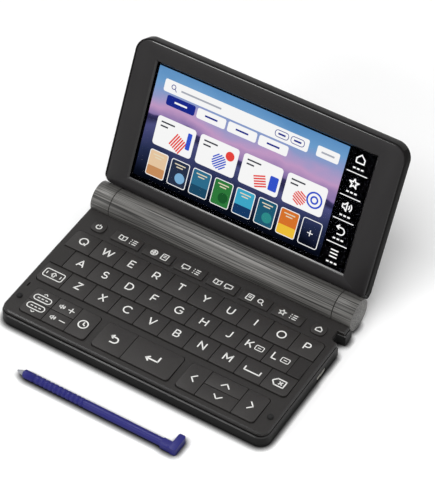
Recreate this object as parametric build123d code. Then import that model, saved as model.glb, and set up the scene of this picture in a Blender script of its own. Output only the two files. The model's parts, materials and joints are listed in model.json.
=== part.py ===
from build123d import *
import math
import os

os.makedirs("parts", exist_ok=True)

# Pocket electronic dictionary, lid open, stylus lying in front. Millimetres.
# Origin: centre of the case's underside. +X right, +Y towards the hinge, +Z up.

# ---- stylus and the silo that stores it ----
stylus_radius = 2.1
stylus_shaft = 84.9
stylus_head_x = 37.3
stylus_y = -68.3
nib_length = 3.4
nib_radius = 0.5
nib_root_radius = 1.4
head_width = 3.6
head_rear = 7.2
head_corner = 1.0
collar_length = 4.6
collar_reach = 2.6
collar_chamfer = 0.8
silo_gap = 0.2
silo_wall = 0.5
silo_under = 0.65
silo_cover_gap = 0.05
silo_end_gap = 1.1
silo_back = 9.35

# ---- heights in the case ----
case_floor = 1.0
membrane_thick = 0.3
dome_height = 0.85
dome_size = 4.4
key_travel = 0.6
travel_gap = 0.05
key_foot_inset = 0.05
deck_plate = 1.15
skirt_depth = 0.85
parting_gap = 0.3
key_front_rise = 0.9
key_rear_rise = 0.3
lid_clear = 0.55
board_thick = 0.9

# ---- battery bay in the hinge barrel ----
cell_radius = 7.15
cell_length = 50.5
cell_button = 1.0
button_radius = 2.7
cell_gap = 0.25
spring_room = 7.0
bulkhead = 1.5
door_from = -148.0
door_to = 28.0
door_gap = 0.2
door_margin = 0.5
ridge_angles = [-8, -16, -24]
ridge_length = 14.0
ridge_width = 0.6
ridge_rise = 0.25
contact_thick = 0.4
contact_size = 8.0
leaf_width = 4.0
leaf_angle = 32.0

# ---- hinge barrel ----
barrel_wall = 0.8
barrel_lift = 1.2
barrel_nest = 1.1
barrel_gap = 0.3
bearing_wall = 3.6
seam_gap = 0.4
end_length = 10.3
end_inset = 0.5
axle_radius = 2.5
axle_gap = 0.05
axle_seat_gap = 0.02
axle_grip = 6.8
axle_tail = 1.3
tail_gap = 0.8
nut_radius = 4.8
nut_thick = 1.2
nut_gap = 0.1
cable_bore = 1.7
cable_offset = 4.0
tongue_reach = 3.0
tongue_thick = 1.0
tongue_inset = 4.7

# ---- keyboard, from side to side ----
letter_rows = ["qwertyuiop", "asdfghjkl", ["shift", *"zxcvbnm", "space", "delete"]]
letter_columns = 10
letter_margin = 4.25
cluster_margin = 9.0
dictionary_width = 12.95
volume_width = 12.95
history_width = 11.2
left_group_gap = 3.7
back_width = 16.5
right_group_gap = 3.8
left_key_width = 10.95
up_down_width = 19.45
right_key_width = 12.1
round_key_inset = 11.95
round_key_width = 7.3
round_key_corner = 2.4
round_key_gap = 4.85
function_count = 6
function_space = 2.3
function_corner = 0.6

# ---- keyboard, from front to rear ----
case_front = -47.0
cluster_setback = 4.2
cluster_depth = 16.8
letter_setback = 3.62
key_pitch_y = 12.61
function_setback = 2.75
function_depth = 6.8
rear_margin = 6.9

# ---- key shapes ----
key_gap = 0.35
opening_gap = 0.1
key_edge = 0.25
key_corner = 1.8
letter_corner = 2.2
rocker_groove = 0.35
rocker_groove_depth = 0.7

# ---- case ----
case_corner = 5.7
case_wall = 1.6
case_foot_chamfer = 0.9
deck_side_inset = 0.7
deck_front_inset = 1.1
deck_chamfer = 0.6
skirt_wall = 1.2
lip_wall = 0.9
lip_drop = 0.9
fit_gap = 0.25
rib_wall = 1.2
support_ribs = [-28.0, 8.0, 44.0]
rib_end_gap = 1.0
membrane_margin = 1.25
board_margin = 1.9
board_silo_gap = 0.55
chips = [(-12.0, -8.0, 14.0, 14.0, 1.4), (22.0, -10.0, 12.0, 18.0, 1.2), (26.0, 8.0, 9.0, 7.0, 1.0),
         (-12.0, 10.0, 8.0, 5.0, 1.0), (56.0, -22.0, 10.0, 14.0, 1.8), (-48.0, 4.0, 12.0, 9.0, 1.2)]

# ---- fastenings, feet and openings in the case ----
boss_radius = 1.9
boss_split = 4.4
boss_base_wall = 1.0
boss_side_inset = 7.9
boss_front_inset = 5.0
boss_rear_inset = 3.7
screw_radius = 0.92
screw_hole = 0.95
screw_clearance = 1.15
screw_bite = 0.65
head_radius = 1.7
head_height = 1.1
head_recess = 0.35
head_gap = 0.2
foot_height = 0.6
foot_seat = 0.3
foot_length = 12.0
foot_depth = 4.0
foot_chamfer = 0.3
foot_side_inset = 13.9
foot_front_inset = 9.5
barrel_foot_inset = 4.7
barrel_foot_length = 7.0
bumper_side_inset = 4.4
bumper_front_inset = 12.0
bumper_radius = 1.5
bumper_gap = 0.2
mic_side_inset = 3.9
mic_front_inset = 20.3
mic_length = 2.6
mic_width = 0.7
notch_depth = 4.4
notch_half = 3.55
notch_corner = 2.5
notch_wall = 1.2
membrane_notch_gap = 0.5
membrane_boss_gap = 0.4
socket_y = 3.6
usb_floor_gap = 0.15
usb_width = 7.5
usb_height = 2.6
usb_shell = 0.25
usb_depth = 5.6
usb_recess = 0.4
usb_corner = 0.8
usb_tongue_inset = 1.4
usb_tongue_thick = 0.6
jack_floor_gap = 0.1
jack_bore = 1.8
jack_mouth_inset = 0.3
jack_collar = 2.2
jack_body_width = 6.2
jack_body_height = 4.4
jack_depth = 12.4
jack_bore_depth = 11.6
speaker_side_inset = 25.9
speaker_front_inset = 17.0
speaker_length = 18.0
speaker_width = 11.0
speaker_height = 3.0
speaker_wall = 1.5
slot_length = 9.0
slot_width = 0.9
slot_pitch = 2.2
slot_count = 5

# ---- lid, measured from the hinge axis: v along the lid, w towards its back ----
rest_open = 116.6
lid_overhang = 0.6
lid_gap = 0.5
lid_corner = 8.0
lid_heel_corner = 4.0
lid_heel_start = 5.8
lid_edge_round = 1.2
lid_wall = 1.2
bezel_thick = 1.1
bezel_inset = 0.8
bezel_drop = 0.3
bezel_gap = 0.1
bezel_chamfer = 0.4
window_left_margin = 12.9
window_right_margin = 14.4
window_low_margin = 6.7
window_high_margin = 9.9
window_bevel = 0.9
glass_thick = 0.7
glass_margin = 1.6
panel_thick = 3.2
panel_margin = 1.2
panel_chamfer = 0.5
pad_thick = 0.6
pad_x = 40.0
pad_inset = 8.0
pad_half_length = 6.0
pad_half_width = 2.0
neck_width = 6.0
neck_inset = 0.5
neck_high = 20.0
neck_thick = 3.2
neck_gap = 0.15

# ---- heights that follow ----
silo_radius = stylus_radius + silo_gap
silo_z = silo_under + silo_radius
membrane_z = silo_z + silo_radius + silo_wall + silo_cover_gap
dome_top = membrane_z + membrane_thick + dome_height
key_foot = dome_top + travel_gap + key_travel
deck_under = key_foot + key_foot_inset
deck_z = deck_under + deck_plate
skirt_foot = deck_under - skirt_depth
rim_z = skirt_foot - parting_gap
key_front_top = deck_z + key_front_rise
key_rear_top = deck_z + key_rear_rise
barrel_bore = cell_radius + cell_gap
barrel_radius = barrel_bore + barrel_wall
barrel_z = barrel_lift + barrel_radius
head_seat = head_recess + head_height
boss_base = head_radius + head_gap + boss_base_wall
screw_top = deck_under - screw_bite
floor_z = -foot_height
usb_z = case_floor + usb_floor_gap + usb_height / 2
jack_z = case_floor + jack_floor_gap + jack_body_height / 2

# ---- places across that follow; the cells set the barrel, and the barrel the whole width ----
bay_half = cell_length + (contact_thick + spring_room) / 2
door_half = bay_half - door_margin
bearing_start = bay_half + bulkhead + tail_gap + axle_tail + nut_thick + nut_gap
barrel_half = bearing_start + bearing_wall
drum_start = barrel_half + seam_gap
barrel_end = drum_start + end_length
case_half = barrel_end + end_inset
notch_x = case_half - notch_depth
silo_depth = stylus_shaft + silo_end_gap
silo_end = notch_x - silo_depth
letter_half = case_half - letter_margin
key_pitch_x = 2 * letter_half / letter_columns
cluster_half = case_half - cluster_margin
round_key_x = case_half - round_key_inset
function_half = round_key_x - round_key_width / 2 - round_key_gap
function_width = (2 * function_half + function_space) / function_count - function_space
function_pitch = function_width + function_space
membrane_half = case_half - case_wall - fit_gap - lip_wall - membrane_margin
board_half = membrane_half - board_margin
foot_x = case_half - foot_side_inset
barrel_foot_x = barrel_half - barrel_foot_inset
speaker_x = speaker_side_inset - case_half
bumper_x = case_half - bumper_side_inset

# ---- places from front to rear that follow ----
cluster_front = case_front + cluster_setback
cluster_rear = cluster_front + cluster_depth
letter_front = cluster_rear + letter_setback
letter_rear = letter_front + 3 * key_pitch_y
function_front = letter_rear + function_setback
function_rear = function_front + function_depth
case_rear = function_rear + rear_margin
barrel_y = case_rear + barrel_radius - barrel_nest
silo_y = case_rear - silo_back
notch_front = silo_y - notch_half
notch_rear = silo_y + notch_half
boss_y = case_rear - boss_rear_inset
boss_places = [(case_half - case_corner, case_front + boss_front_inset),
               (case_half - boss_side_inset, boss_y)]
membrane_front = case_front + case_wall + fit_gap + lip_wall + membrane_margin
membrane_rear = boss_y - boss_radius - membrane_boss_gap
board_rear = silo_y - silo_radius - silo_wall - board_silo_gap
foot_y = case_front + foot_front_inset
bumper_y = case_front + bumper_front_inset
speaker_y = case_front + speaker_front_inset

# ---- lid places that follow ----
hollow_radius = barrel_radius + lid_gap
lid_tip = barrel_y - case_front + lid_overhang
lid_face = key_front_top + lid_clear - barrel_z
glass_w = lid_face + bezel_thick
panel_w = glass_w + glass_thick
panel_back = panel_w + panel_thick
inner_w = panel_back + pad_thick
lid_back = inner_w + lid_wall
window_left = window_left_margin - case_half
window_right = case_half - window_right_margin
window_low = hollow_radius + window_low_margin
window_high = lid_tip - window_high_margin
neck_outer = case_half - lid_heel_corner - neck_inset
neck_front = glass_w + neck_gap
bumper_top = key_front_top + lid_clear - bumper_gap
through = 2 * case_half


# ---- building blocks ----
def block(x0, x1, y0, y1, z0, z1):
    """Box between two opposite corners."""
    centre = Pos((x0 + x1) / 2, (y0 + y1) / 2, (z0 + z1) / 2)
    return centre * Box(x1 - x0, y1 - y0, z1 - z0)


def rod_x(radius, x0, x1, y, z):
    """Cylinder along X."""
    return Pos((x0 + x1) / 2, y, z) * Rot(0, 90, 0) * Cylinder(radius, x1 - x0)


def post(radius, x, y, z0, z1):
    """Upright cylinder."""
    return Pos(x, y, (z0 + z1) / 2) * Cylinder(radius, z1 - z0)


def slab(x0, x1, y0, y1, z0, z1, front_corner, rear_corner):
    """Plate whose upright corners are rounded, with a radius at each end."""
    plate = block(x0, x1, y0, y1, z0, z1)
    corners = plate.edges().filter_by(Axis.Z).sort_by(Axis.Y)
    if front_corner:
        plate = fillet(corners[:2], front_corner)
        corners = plate.edges().filter_by(Axis.Z).sort_by(Axis.Y)
    if rear_corner:
        plate = fillet(corners[-2:], rear_corner)
    return plate


def case_slab(side_inset, front_inset, z0, z1, rear=case_rear):
    """Slab in the outline of the case, drawn in by the given insets."""
    half = case_half - side_inset
    corner = case_corner - front_inset
    return slab(-half, half, case_front + front_inset, rear, z0, z1, corner, 0)


def on_hinge(shape):
    """Place a piece drawn for a shut lid (v along -Y, w along +Z) at the opened rest."""
    return Pos(0, barrel_y, barrel_z) * Rot(-rest_open, 0, 0) * shape


def mirrored_x(shape):
    """The piece and its twin on the other side."""
    return [shape, mirror(shape, about=Plane.YZ)]


def fused(shapes):
    """One solid from touching ones."""
    shapes = list(shapes)
    return shapes[0] + shapes[1:]


# ---- key cells: name, left, right, front, rear, rounded corners ----
def letter_cells():
    """The three full rows, rear row first; the middle one is set in by half a key."""
    cells = []
    for row, names in enumerate(letter_rows):
        front = letter_rear - (row + 1) * key_pitch_y
        start = -len(names) * key_pitch_x / 2
        for column, name in enumerate(names):
            left = start + column * key_pitch_x
            cells.append((f"key_{name}", left, left + key_pitch_x, front, front + key_pitch_y))
    return cells


def filler_cells():
    """Blank half-key lands at both ends of the middle row, part of the deck."""
    front = letter_front + key_pitch_y
    inner = letter_half - key_pitch_x / 2
    return [(-letter_half, -inner, front, front + key_pitch_y),
            (inner, letter_half, front, front + key_pitch_y)]


def cluster_cells():
    """The lower keys in three groups, laid inwards from both ends; rockers span a pair of legends."""
    groups = group_spans()
    cells = []
    left = groups[0][0]
    for name, width in (("dictionary_rocker", dictionary_width), ("volume_rocker", volume_width),
                        ("key_history", history_width)):
        cells.append((name, left, left + width))
        left += width
    middle, right = groups[1]
    cells += [("key_back", middle, middle + back_width), ("key_enter", middle + back_width, right)]
    left = groups[2][0]
    for name, width in (("key_left", left_key_width), ("up_down_rocker", up_down_width),
                        ("key_right", right_key_width)):
        cells.append((name, left, left + width))
        left += width
    return [(name, x0, x1, cluster_front, cluster_rear) for name, x0, x1 in cells]


def group_spans():
    """Left and right ends of the three lower groups; the middle one takes what the others leave."""
    left_end = dictionary_width + volume_width + history_width - cluster_half
    right_start = cluster_half - left_key_width - up_down_width - right_key_width
    return [(-cluster_half, left_end), (left_end + left_group_gap, right_start - right_group_gap),
            (right_start, cluster_half)]


def function_cells():
    """The row of wide function keys."""
    cells = []
    for index in range(function_count):
        centre = (index - (function_count - 1) / 2) * function_pitch
        half = function_width / 2
        cells.append((centre - half, centre + half, function_front, function_rear))
    return cells


def function_corners(index, cell):
    """The row's outermost corners, which alone are rounded."""
    x0, x1, y0, y1 = cell
    if index == 0:
        return [(x0, y0), (x0, y1)]
    if index == function_count - 1:
        return [(x1, y0), (x1, y1)]
    return []


def is_block_corner(y):
    """Whether a key's edge lies at the front or rear of the letter block."""
    return y < letter_front + key_gap or y > letter_rear - key_gap


def round_cells():
    """The small rounded keys at the ends of the function row."""
    half = round_key_width / 2
    return [("key_power", -round_key_x - half, -round_key_x + half, function_front, function_rear),
            ("key_home", round_key_x - half, round_key_x + half, function_front, function_rear)]


# ---- keys ----
def key_block(x0, x1, y0, y1, gap):
    """Key body with a top that climbs from its rear edge to its front edge."""
    x0, x1, y0, y1 = x0 + gap, x1 - gap, y0 + gap, y1 - gap
    side = Polyline((y0, key_foot), (y0, key_front_top - key_edge), (y0 + key_edge, key_front_top),
                    (y1, key_rear_top), (y1, key_foot), close=True)
    return Pos(x0, 0, 0) * extrude(Plane.YZ * make_face(side), amount=x1 - x0)


def rounded_corners(body, corners, radius):
    """Round the upright edges that stand at the given corners."""
    uprights = body.edges().filter_by(Axis.Z)
    edges = [min(uprights, key=lambda e: math.hypot(e.center().X - x, e.center().Y - y)) for x, y in corners]
    return fillet(edges, radius) if edges else body


def dome_places(x0, x1, y0, y1):
    """Where a key presses: in its middle, or at both ends of one wider than a letter key."""
    cy = (y0 + y1) / 2
    if x1 - x0 > key_pitch_x + 2 * dome_size:
        return [(x0 + dome_size, cy), (x1 - dome_size, cy)]
    return [((x0 + x1) / 2, cy)]


def rocker_places(x0, x1, y0, y1):
    """Where a rocker presses: near its front and near its rear."""
    cx = (x0 + x1) / 2
    return [(cx, y0 + dome_size * 0.7), (cx, y1 - dome_size * 0.7)]


def outer_corners(x0, x1, y0, y1, spans, gap):
    """Corners of a key that are also corners of its group."""
    corners = []
    for left, right in spans:
        if abs(x0 - left) < 1e-6:
            corners += [(x0 + gap, y0 + gap), (x0 + gap, y1 - gap)]
        if abs(x1 - right) < 1e-6:
            corners += [(x1 - gap, y0 + gap), (x1 - gap, y1 - gap)]
    return corners


def plain_key(x0, x1, y0, y1, corners=(), radius=key_corner, gap=key_gap / 2):
    """A key with a gap to its neighbours and its outward corners rounded."""
    return rounded_corners(key_block(x0, x1, y0, y1, gap), corners, radius)


def rocker_key(x0, x1, y0, y1, corners):
    """A key that tips to either side of a groove across its middle."""
    middle = (y0 + y1) / 2
    surface = (key_front_top + key_rear_top) / 2
    groove = block(x0, x1, middle - rocker_groove / 2, middle + rocker_groove / 2,
                   surface - rocker_groove_depth, key_front_top)
    return plain_key(x0, x1, y0, y1, corners) - groove


# ---- case ----
def case_bosses(half, z0, z1, hole):
    """The four screw pillars between two heights: square posts with a round hole."""
    pillars = []
    for x, y in boss_places:
        pillar = block(x - half, x + half, y - half, y + half, z0, z1)
        pillars += mirrored_x(pillar - post(hole, x, y, z0 - 1, z1 + 1))
    return pillars


def barrel_clearance():
    """The space that the hinge barrel and its lid sections turn in."""
    return rod_x(barrel_radius + barrel_gap, -through, through, barrel_y, barrel_z)


def notch_cut(z0, z1):
    """Side notch that takes the stylus's hooked head."""
    cut = block(notch_x, through, notch_front, notch_rear, z0, z1)
    inner = cut.edges().filter_by(Axis.Z).sort_by(Axis.X)[:2].sort_by(Axis.Y)[0]
    return fillet([inner], notch_corner)


def notch_shield(z0, z1, grow=0):
    """Wall round the notch, which keeps the case shut."""
    return block(notch_x - notch_wall - grow, case_half - deck_side_inset - fit_gap,
                 notch_front - notch_wall - grow, notch_rear + notch_wall + grow, z0, z1)


def foot_seats():
    """Shallow seats for the front feet."""
    seat = block(foot_x - foot_length / 2, foot_x + foot_length / 2, foot_y - foot_depth / 2,
                 foot_y + foot_depth / 2, -1, foot_seat)
    return mirrored_x(seat)


def speaker_slots():
    """Slots in the floor below the speaker."""
    slots = []
    for index in range(slot_count):
        y = speaker_y + (index - (slot_count - 1) / 2) * slot_pitch
        slots.append(block(speaker_x - slot_length / 2, speaker_x + slot_length / 2,
                           y - slot_width / 2, y + slot_width / 2, -1, case_floor + 1))
    return slots


def lower_case():
    """Tray with the stylus silo, screw pillars, board ribs and socket openings."""
    shell = case_slab(0, 0, 0, rim_z)
    shell = chamfer(shell.edges().group_by(Axis.Z)[0], case_foot_chamfer)
    tray = shell - case_slab(case_wall, case_wall, case_floor, rim_z + 1, case_rear - case_wall)
    ribs = [block(x - rib_wall / 2, x + rib_wall / 2, case_front + case_wall, board_rear - rib_end_gap,
                  case_floor, membrane_z - board_thick) for x in support_ribs]
    root = case_floor / 2
    silo = rod_x(silo_radius + silo_wall, silo_end - 2 * silo_wall, notch_x, silo_y, silo_z)
    added = [silo & block(-through, through, 0, through, root, rim_z), notch_shield(root, rim_z)] + ribs
    added += case_bosses(boss_base, root, boss_split, screw_clearance)
    tray = fused([tray] + added)
    cuts = [rod_x(silo_radius, silo_end, notch_x + 1, silo_y, silo_z), notch_cut(-1, deck_z)]
    cuts += foot_seats() + speaker_slots() + [barrel_clearance()]
    for x, y in boss_places:
        recess = post(head_radius + head_gap, x, y, -1, head_seat)
        cuts += mirrored_x(recess + post(screw_clearance, x, y, -1, boss_split + 1))
    usb_half, usb_rise = usb_width / 2 + fit_gap, usb_height / 2 + fit_gap
    cuts.append(block(case_half - case_wall - 1, through, socket_y - usb_half, socket_y + usb_half,
                      usb_z - usb_rise, usb_z + usb_rise))
    cuts.append(rod_x(jack_collar + fit_gap, -through, -case_half + case_wall + 1, socket_y, jack_z))
    return tray - cuts


def opening(x0, x1, y0, y1, corners, radius):
    """Hole for keys, with a small gap all round and the given corners rounded."""
    grow = opening_gap
    hole = block(x0 - grow, x1 + grow, y0 - grow, y1 + grow, 0, through)
    return rounded_corners(hole, corners, radius)


def square(x0, x1, y0, y1):
    """The four corners of a cell."""
    return [(x, y) for x in (x0, x1) for y in (y0, y1)]


def deck_openings():
    """Openings for the letter block, the lower groups and the row below the lid."""
    block_cell = (-letter_half, letter_half, letter_front, letter_rear)
    cuts = [opening(*block_cell, square(*block_cell), letter_corner)]
    for x0, x1 in group_spans():
        cell = (x0, x1, cluster_front, cluster_rear)
        cuts.append(opening(*cell, square(*cell), key_corner))
    for index, cell in enumerate(function_cells()):
        cuts.append(opening(*cell, function_corners(index, cell), function_corner))
    for name, *cell in round_cells():
        cuts.append(opening(*cell, square(*cell), round_key_corner))
    return cuts


def filler_land(x0, x1, y0, y1):
    """Blank land shaped like a key, joined to the deck at its outer side."""
    gap = key_gap / 2
    edge = max(x0, x1, key=abs)
    web = block(edge - 1, edge + 1, y0 + gap, y1 - gap, deck_under, deck_z)
    return key_block(x0, x1, y0, y1, gap) + web


def upper_case():
    """Deck with its key openings, skirt, locating lip and screw pillars."""
    deck = case_slab(deck_side_inset, deck_front_inset, deck_under, deck_z)
    rim = [e for e in deck.edges().group_by(Axis.Z)[-1] if e.center().Y < case_rear - 1]
    deck = chamfer(rim, deck_chamfer)
    skirt = case_slab(deck_side_inset, deck_front_inset, skirt_foot, deck_under)
    skirt -= case_slab(deck_side_inset + skirt_wall, deck_front_inset + skirt_wall, 0, through, case_rear + 1)
    lip_inset = case_wall + fit_gap
    lip = case_slab(lip_inset, lip_inset, rim_z - lip_drop, deck_under, boss_y - boss_radius)
    lip -= case_slab(lip_inset + lip_wall, lip_inset + lip_wall, 0, through, case_rear)
    lip -= notch_shield(0, skirt_foot, fit_gap)
    pillars = case_bosses(boss_radius, boss_split, deck_under + deck_plate / 4, screw_hole)
    case = fused([deck, skirt, lip, notch_shield(skirt_foot, deck_under)] + pillars)
    mic_x, mic_y = mic_side_inset - case_half, case_front + mic_front_inset
    cuts = deck_openings() + [barrel_clearance(), notch_cut(0, through)]
    cuts.append(block(mic_x - mic_width / 2, mic_x + mic_width / 2, mic_y - mic_length / 2,
                      mic_y + mic_length / 2, deck_under - 1, through))
    lands = [filler_land(*cell) for cell in filler_cells()]
    return fused([case - cuts] + lands)


def all_domes():
    """Centres of the rubber domes under the keys."""
    places = []
    for name, *cell in letter_cells() + cluster_cells() + round_cells():
        places += rocker_places(*cell) if name.endswith("rocker") else dome_places(*cell)
    for cell in function_cells():
        places.append(((cell[0] + cell[1]) / 2, (cell[2] + cell[3]) / 2))
    return places


def boss_openings():
    """Square openings that clear the front screw pillars."""
    half = boss_radius + membrane_boss_gap
    x, y = boss_places[0]
    return mirrored_x(block(x - half, x + half, y - half, y + half, 0, through))


def key_membrane():
    """Rubber sheet with a low square dome under each key, stepped round the stylus notch."""
    top = membrane_z + membrane_thick
    step = notch_front - notch_wall - membrane_notch_gap
    rear_half = notch_x - notch_wall - membrane_notch_gap
    sheet = block(-membrane_half, membrane_half, membrane_front, step, membrane_z, top)
    sheet += block(-rear_half, rear_half, step, membrane_rear, membrane_z, top)
    sheet -= boss_openings()
    half = dome_size / 2
    domes = [block(x - half, x + half, y - half, y + half, top, top + dome_height) for x, y in all_domes()]
    return fused([sheet] + domes)


def main_board():
    """Circuit board with its chips on the underside."""
    foot = membrane_z - board_thick
    board = block(-board_half, board_half, membrane_front, board_rear, foot, membrane_z)
    jack_half = jack_body_width / 2 + fit_gap
    board -= boss_openings()
    board -= block(-through, -case_half + case_wall + jack_depth + fit_gap, socket_y - jack_half,
                   socket_y + jack_half, 0, through)
    board -= block(notch_x - notch_wall - membrane_notch_gap, through, notch_front - notch_wall - fit_gap,
                   through, 0, through)
    parts = [block(x - w / 2, x + w / 2, y - d / 2, y + d / 2, foot - h, foot) for x, y, w, d, h in chips]
    return fused([board] + parts)


def speaker():
    """Flat speaker that fires through the floor."""
    half_x, half_y = speaker_length / 2, speaker_width / 2
    top = case_floor + speaker_height
    body = block(speaker_x - half_x, speaker_x + half_x, speaker_y - half_y, speaker_y + half_y,
                 case_floor, top)
    body = chamfer(body.edges().filter_by(Axis.Z), speaker_wall)
    mouth = block(speaker_x - half_x + speaker_wall, speaker_x + half_x - speaker_wall,
                  speaker_y - half_y + speaker_wall, speaker_y + half_y - speaker_wall,
                  case_floor - 1, case_floor + speaker_wall / 2)
    magnet = block(speaker_x - half_x / 2, speaker_x + half_x / 2, speaker_y - half_y / 2,
                   speaker_y + half_y / 2, top, top + speaker_wall / 2)
    return fused([body - mouth, magnet])


def usb_socket():
    """Small metal socket with its contact tongue, hung under the board."""
    mouth = case_half - usb_recess
    rear = mouth - usb_depth
    half, rise = usb_width / 2, usb_height / 2
    shell = block(rear, mouth, socket_y - half, socket_y + half, usb_z - rise, usb_z + rise)
    shell = chamfer(shell.edges().filter_by(Axis.X).group_by(Axis.Z)[0], usb_corner)
    hollow = block(rear + 2 * usb_shell, mouth + 1, socket_y - half + usb_shell, socket_y + half - usb_shell,
                   usb_z - rise + usb_shell, usb_z + rise - usb_shell)
    hollow = chamfer(hollow.edges().filter_by(Axis.X).group_by(Axis.Z)[0], usb_corner)
    tongue = block(rear + usb_shell, mouth - 3 * usb_shell, socket_y - half + usb_tongue_inset,
                   socket_y + half - usb_tongue_inset, usb_z + rise / 8, usb_z + rise / 8 + usb_tongue_thick)
    saddle = block(rear, board_half, socket_y - half, socket_y + half, usb_z + rise, membrane_z - board_thick)
    return fused([shell - hollow, tongue, saddle])


def headphone_jack():
    """Jack body with a collar that shows in the left wall."""
    wall_inner = case_wall - case_half
    half, rise = jack_body_width / 2, jack_body_height / 2
    body = block(wall_inner + fit_gap, wall_inner + jack_depth, socket_y - half, socket_y + half,
                 jack_z - rise, jack_z + rise)
    mouth = jack_mouth_inset - case_half
    collar = rod_x(jack_collar, mouth, wall_inner + 2 * fit_gap, socket_y, jack_z)
    bore = rod_x(jack_bore, mouth - 1, mouth + jack_bore_depth, socket_y, jack_z)
    return fused([body, collar]) - bore


def case_screws():
    """Four screws that draw the two halves together."""
    screws = []
    for x, y in boss_places:
        head = post(head_radius, x, y, head_recess, head_seat)
        screws += mirrored_x(head + post(screw_radius, x, y, head_seat, screw_top))
    return Compound(screws)


def rubber_pads():
    """Front feet, feet below the barrel's ends and two lid bumpers on the deck."""
    half_x, half_y = foot_length / 2, foot_depth / 2
    foot = block(foot_x - half_x, foot_x + half_x, foot_y - half_y, foot_y + half_y, floor_z, foot_seat)
    pads = mirrored_x(chamfer(foot.edges().group_by(Axis.Z)[0], foot_chamfer))
    half_x = barrel_foot_length / 2
    heel = block(barrel_foot_x - half_x, barrel_foot_x + half_x, barrel_y - half_y, barrel_y + half_y,
                 floor_z, barrel_lift + barrel_wall)
    heel = chamfer(heel.edges().group_by(Axis.Z)[0], foot_chamfer)
    pads += mirrored_x(heel - rod_x(barrel_radius, 0, through, barrel_y, barrel_z))
    pads += mirrored_x(post(bumper_radius, bumper_x, bumper_y, deck_z, bumper_top))
    return Compound(pads)


# ---- barrel and battery bay ----
def wedge(start, stop, half):
    """Sector of the barrel between two angles from +Y, for cutting the door and its opening."""
    reach = barrel_radius * 3
    steps = 8
    angles = [math.radians(start + (stop - start) * i / steps) for i in range(steps + 1)]
    rim = [(math.cos(a) * reach, math.sin(a) * reach) for a in angles]
    face = make_face(Polyline((0, 0), *rim, close=True))
    return Pos(-half, barrel_y, barrel_z) * extrude(Plane.YZ * face, amount=2 * half)


def hinge_barrel():
    """Fixed middle section: tube with end bearings, bulkheads and a tongue into the case."""
    tube = rod_x(barrel_radius, -barrel_half, barrel_half, barrel_y, barrel_z)
    tube -= rod_x(barrel_bore, -through, through, barrel_y, barrel_z)
    tube -= wedge(door_from, door_to, door_half)
    plug = barrel_bore + barrel_wall / 4
    bearing = rod_x(plug, bearing_start, barrel_half, barrel_y, barrel_z)
    bearing -= rod_x(axle_radius + axle_gap, 0, through, barrel_y, barrel_z)
    wall = rod_x(plug, bay_half, bay_half + bulkhead, barrel_y, barrel_z)
    wall -= block(0, through, barrel_y + cable_offset - cable_bore, barrel_y + cable_offset + cable_bore,
                  barrel_z - cable_bore, barrel_z + cable_bore)
    tongue_half = barrel_half - tongue_inset
    tongue = block(-tongue_half, tongue_half,
                   case_rear - case_wall - tongue_reach, barrel_y - barrel_radius / 2,
                   rim_z, rim_z + tongue_thick)
    tongue -= rod_x(barrel_bore + barrel_wall / 2, -through, through, barrel_y, barrel_z)
    return fused([tube] + mirrored_x(bearing) + mirrored_x(wall) + [tongue])


def battery_door():
    """Curved door that closes the barrel's lower rear half, with ridges for the thumb."""
    half = door_half - door_gap
    shell = rod_x(barrel_radius, -half, half, barrel_y, barrel_z)
    shell -= rod_x(barrel_bore, -through, through, barrel_y, barrel_z)
    trim = math.degrees(door_gap / barrel_radius)
    shell &= wedge(door_from + trim, door_to - trim, half)
    ridge = Pos(0, barrel_radius, 0) * Box(ridge_length, 2 * ridge_rise, ridge_width)
    ridges = [Pos(0, barrel_y, barrel_z) * Rot(angle, 0, 0) * ridge for angle in ridge_angles]
    return fused([shell] + ridges)


def cell_start():
    """Right-hand end of the right-hand can, with its button against the plate."""
    return bay_half - contact_thick - cell_button


def battery_cells():
    """Two round cells in line, each with its raised button."""
    can_length = cell_length - cell_button
    cells = []
    for index in range(2):
        right = cell_start() - index * cell_length
        button = rod_x(button_radius, right, right + cell_button, barrel_y, barrel_z)
        cells.append(rod_x(cell_radius, right - can_length, right, barrel_y, barrel_z) + button)
    return Compound(cells)


def battery_contacts():
    """Flat plate at one end of the cells and a sprung leaf at the other."""
    half = contact_size / 2
    plate = block(bay_half - contact_thick, bay_half, barrel_y - half, barrel_y + half,
                  barrel_z - half, barrel_z + half)
    back = block(-bay_half, contact_thick - bay_half, barrel_y - half, barrel_y + half,
                 barrel_z - half, barrel_z + half)
    cells_end = cell_start() + cell_button - 2 * cell_length
    room = cells_end + bay_half - contact_thick
    reach = room / math.cos(math.radians(leaf_angle))
    leaf = Box(reach, leaf_width, contact_thick, align=(Align.MIN, Align.CENTER, Align.CENTER))
    leaf = Pos(contact_thick / 2 - bay_half, barrel_y, barrel_z - half / 2) * Rot(0, -leaf_angle, 0) * leaf
    leaf &= block(-bay_half, cells_end, barrel_y - half, barrel_y + half, 0, through)
    return Compound([plate, back + leaf])


def hinge_axles():
    """Friction axle on the right and a hollow one for the display cable on the left, each behind its nut."""
    stack_end = bearing_start - nut_gap
    axle = rod_x(axle_radius, stack_end - nut_thick - axle_tail, drum_start + axle_grip, barrel_y, barrel_z)
    nut = extrude(Plane.YZ * RegularPolygon(nut_radius, 6), amount=nut_thick)
    axle += Pos(stack_end - nut_thick, barrel_y, barrel_z) * nut
    bush = mirror(axle, about=Plane.YZ) - rod_x(cable_bore, -through, 0, barrel_y, barrel_z)
    return Compound([axle, bush])


# ---- lid ----
def barrel_hollow(grow):
    """Cylinder round the hinge axis that hollows the lid's lower edge."""
    return rod_x(hollow_radius + grow, -through, through, 0, 0)


def heel_corners(half, hollow, corner):
    """Pair of rings that round the lid's lower corners where it runs along the barrel."""
    low = Align.MIN
    profile = Pos(half - corner, 0, 0) * Rectangle(2 * corner, hollow + corner, align=(low, low))
    profile -= Pos(half - corner, hollow + corner, 0) * Circle(corner)
    return mirrored_x(revolve(profile, Axis.X))


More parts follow.
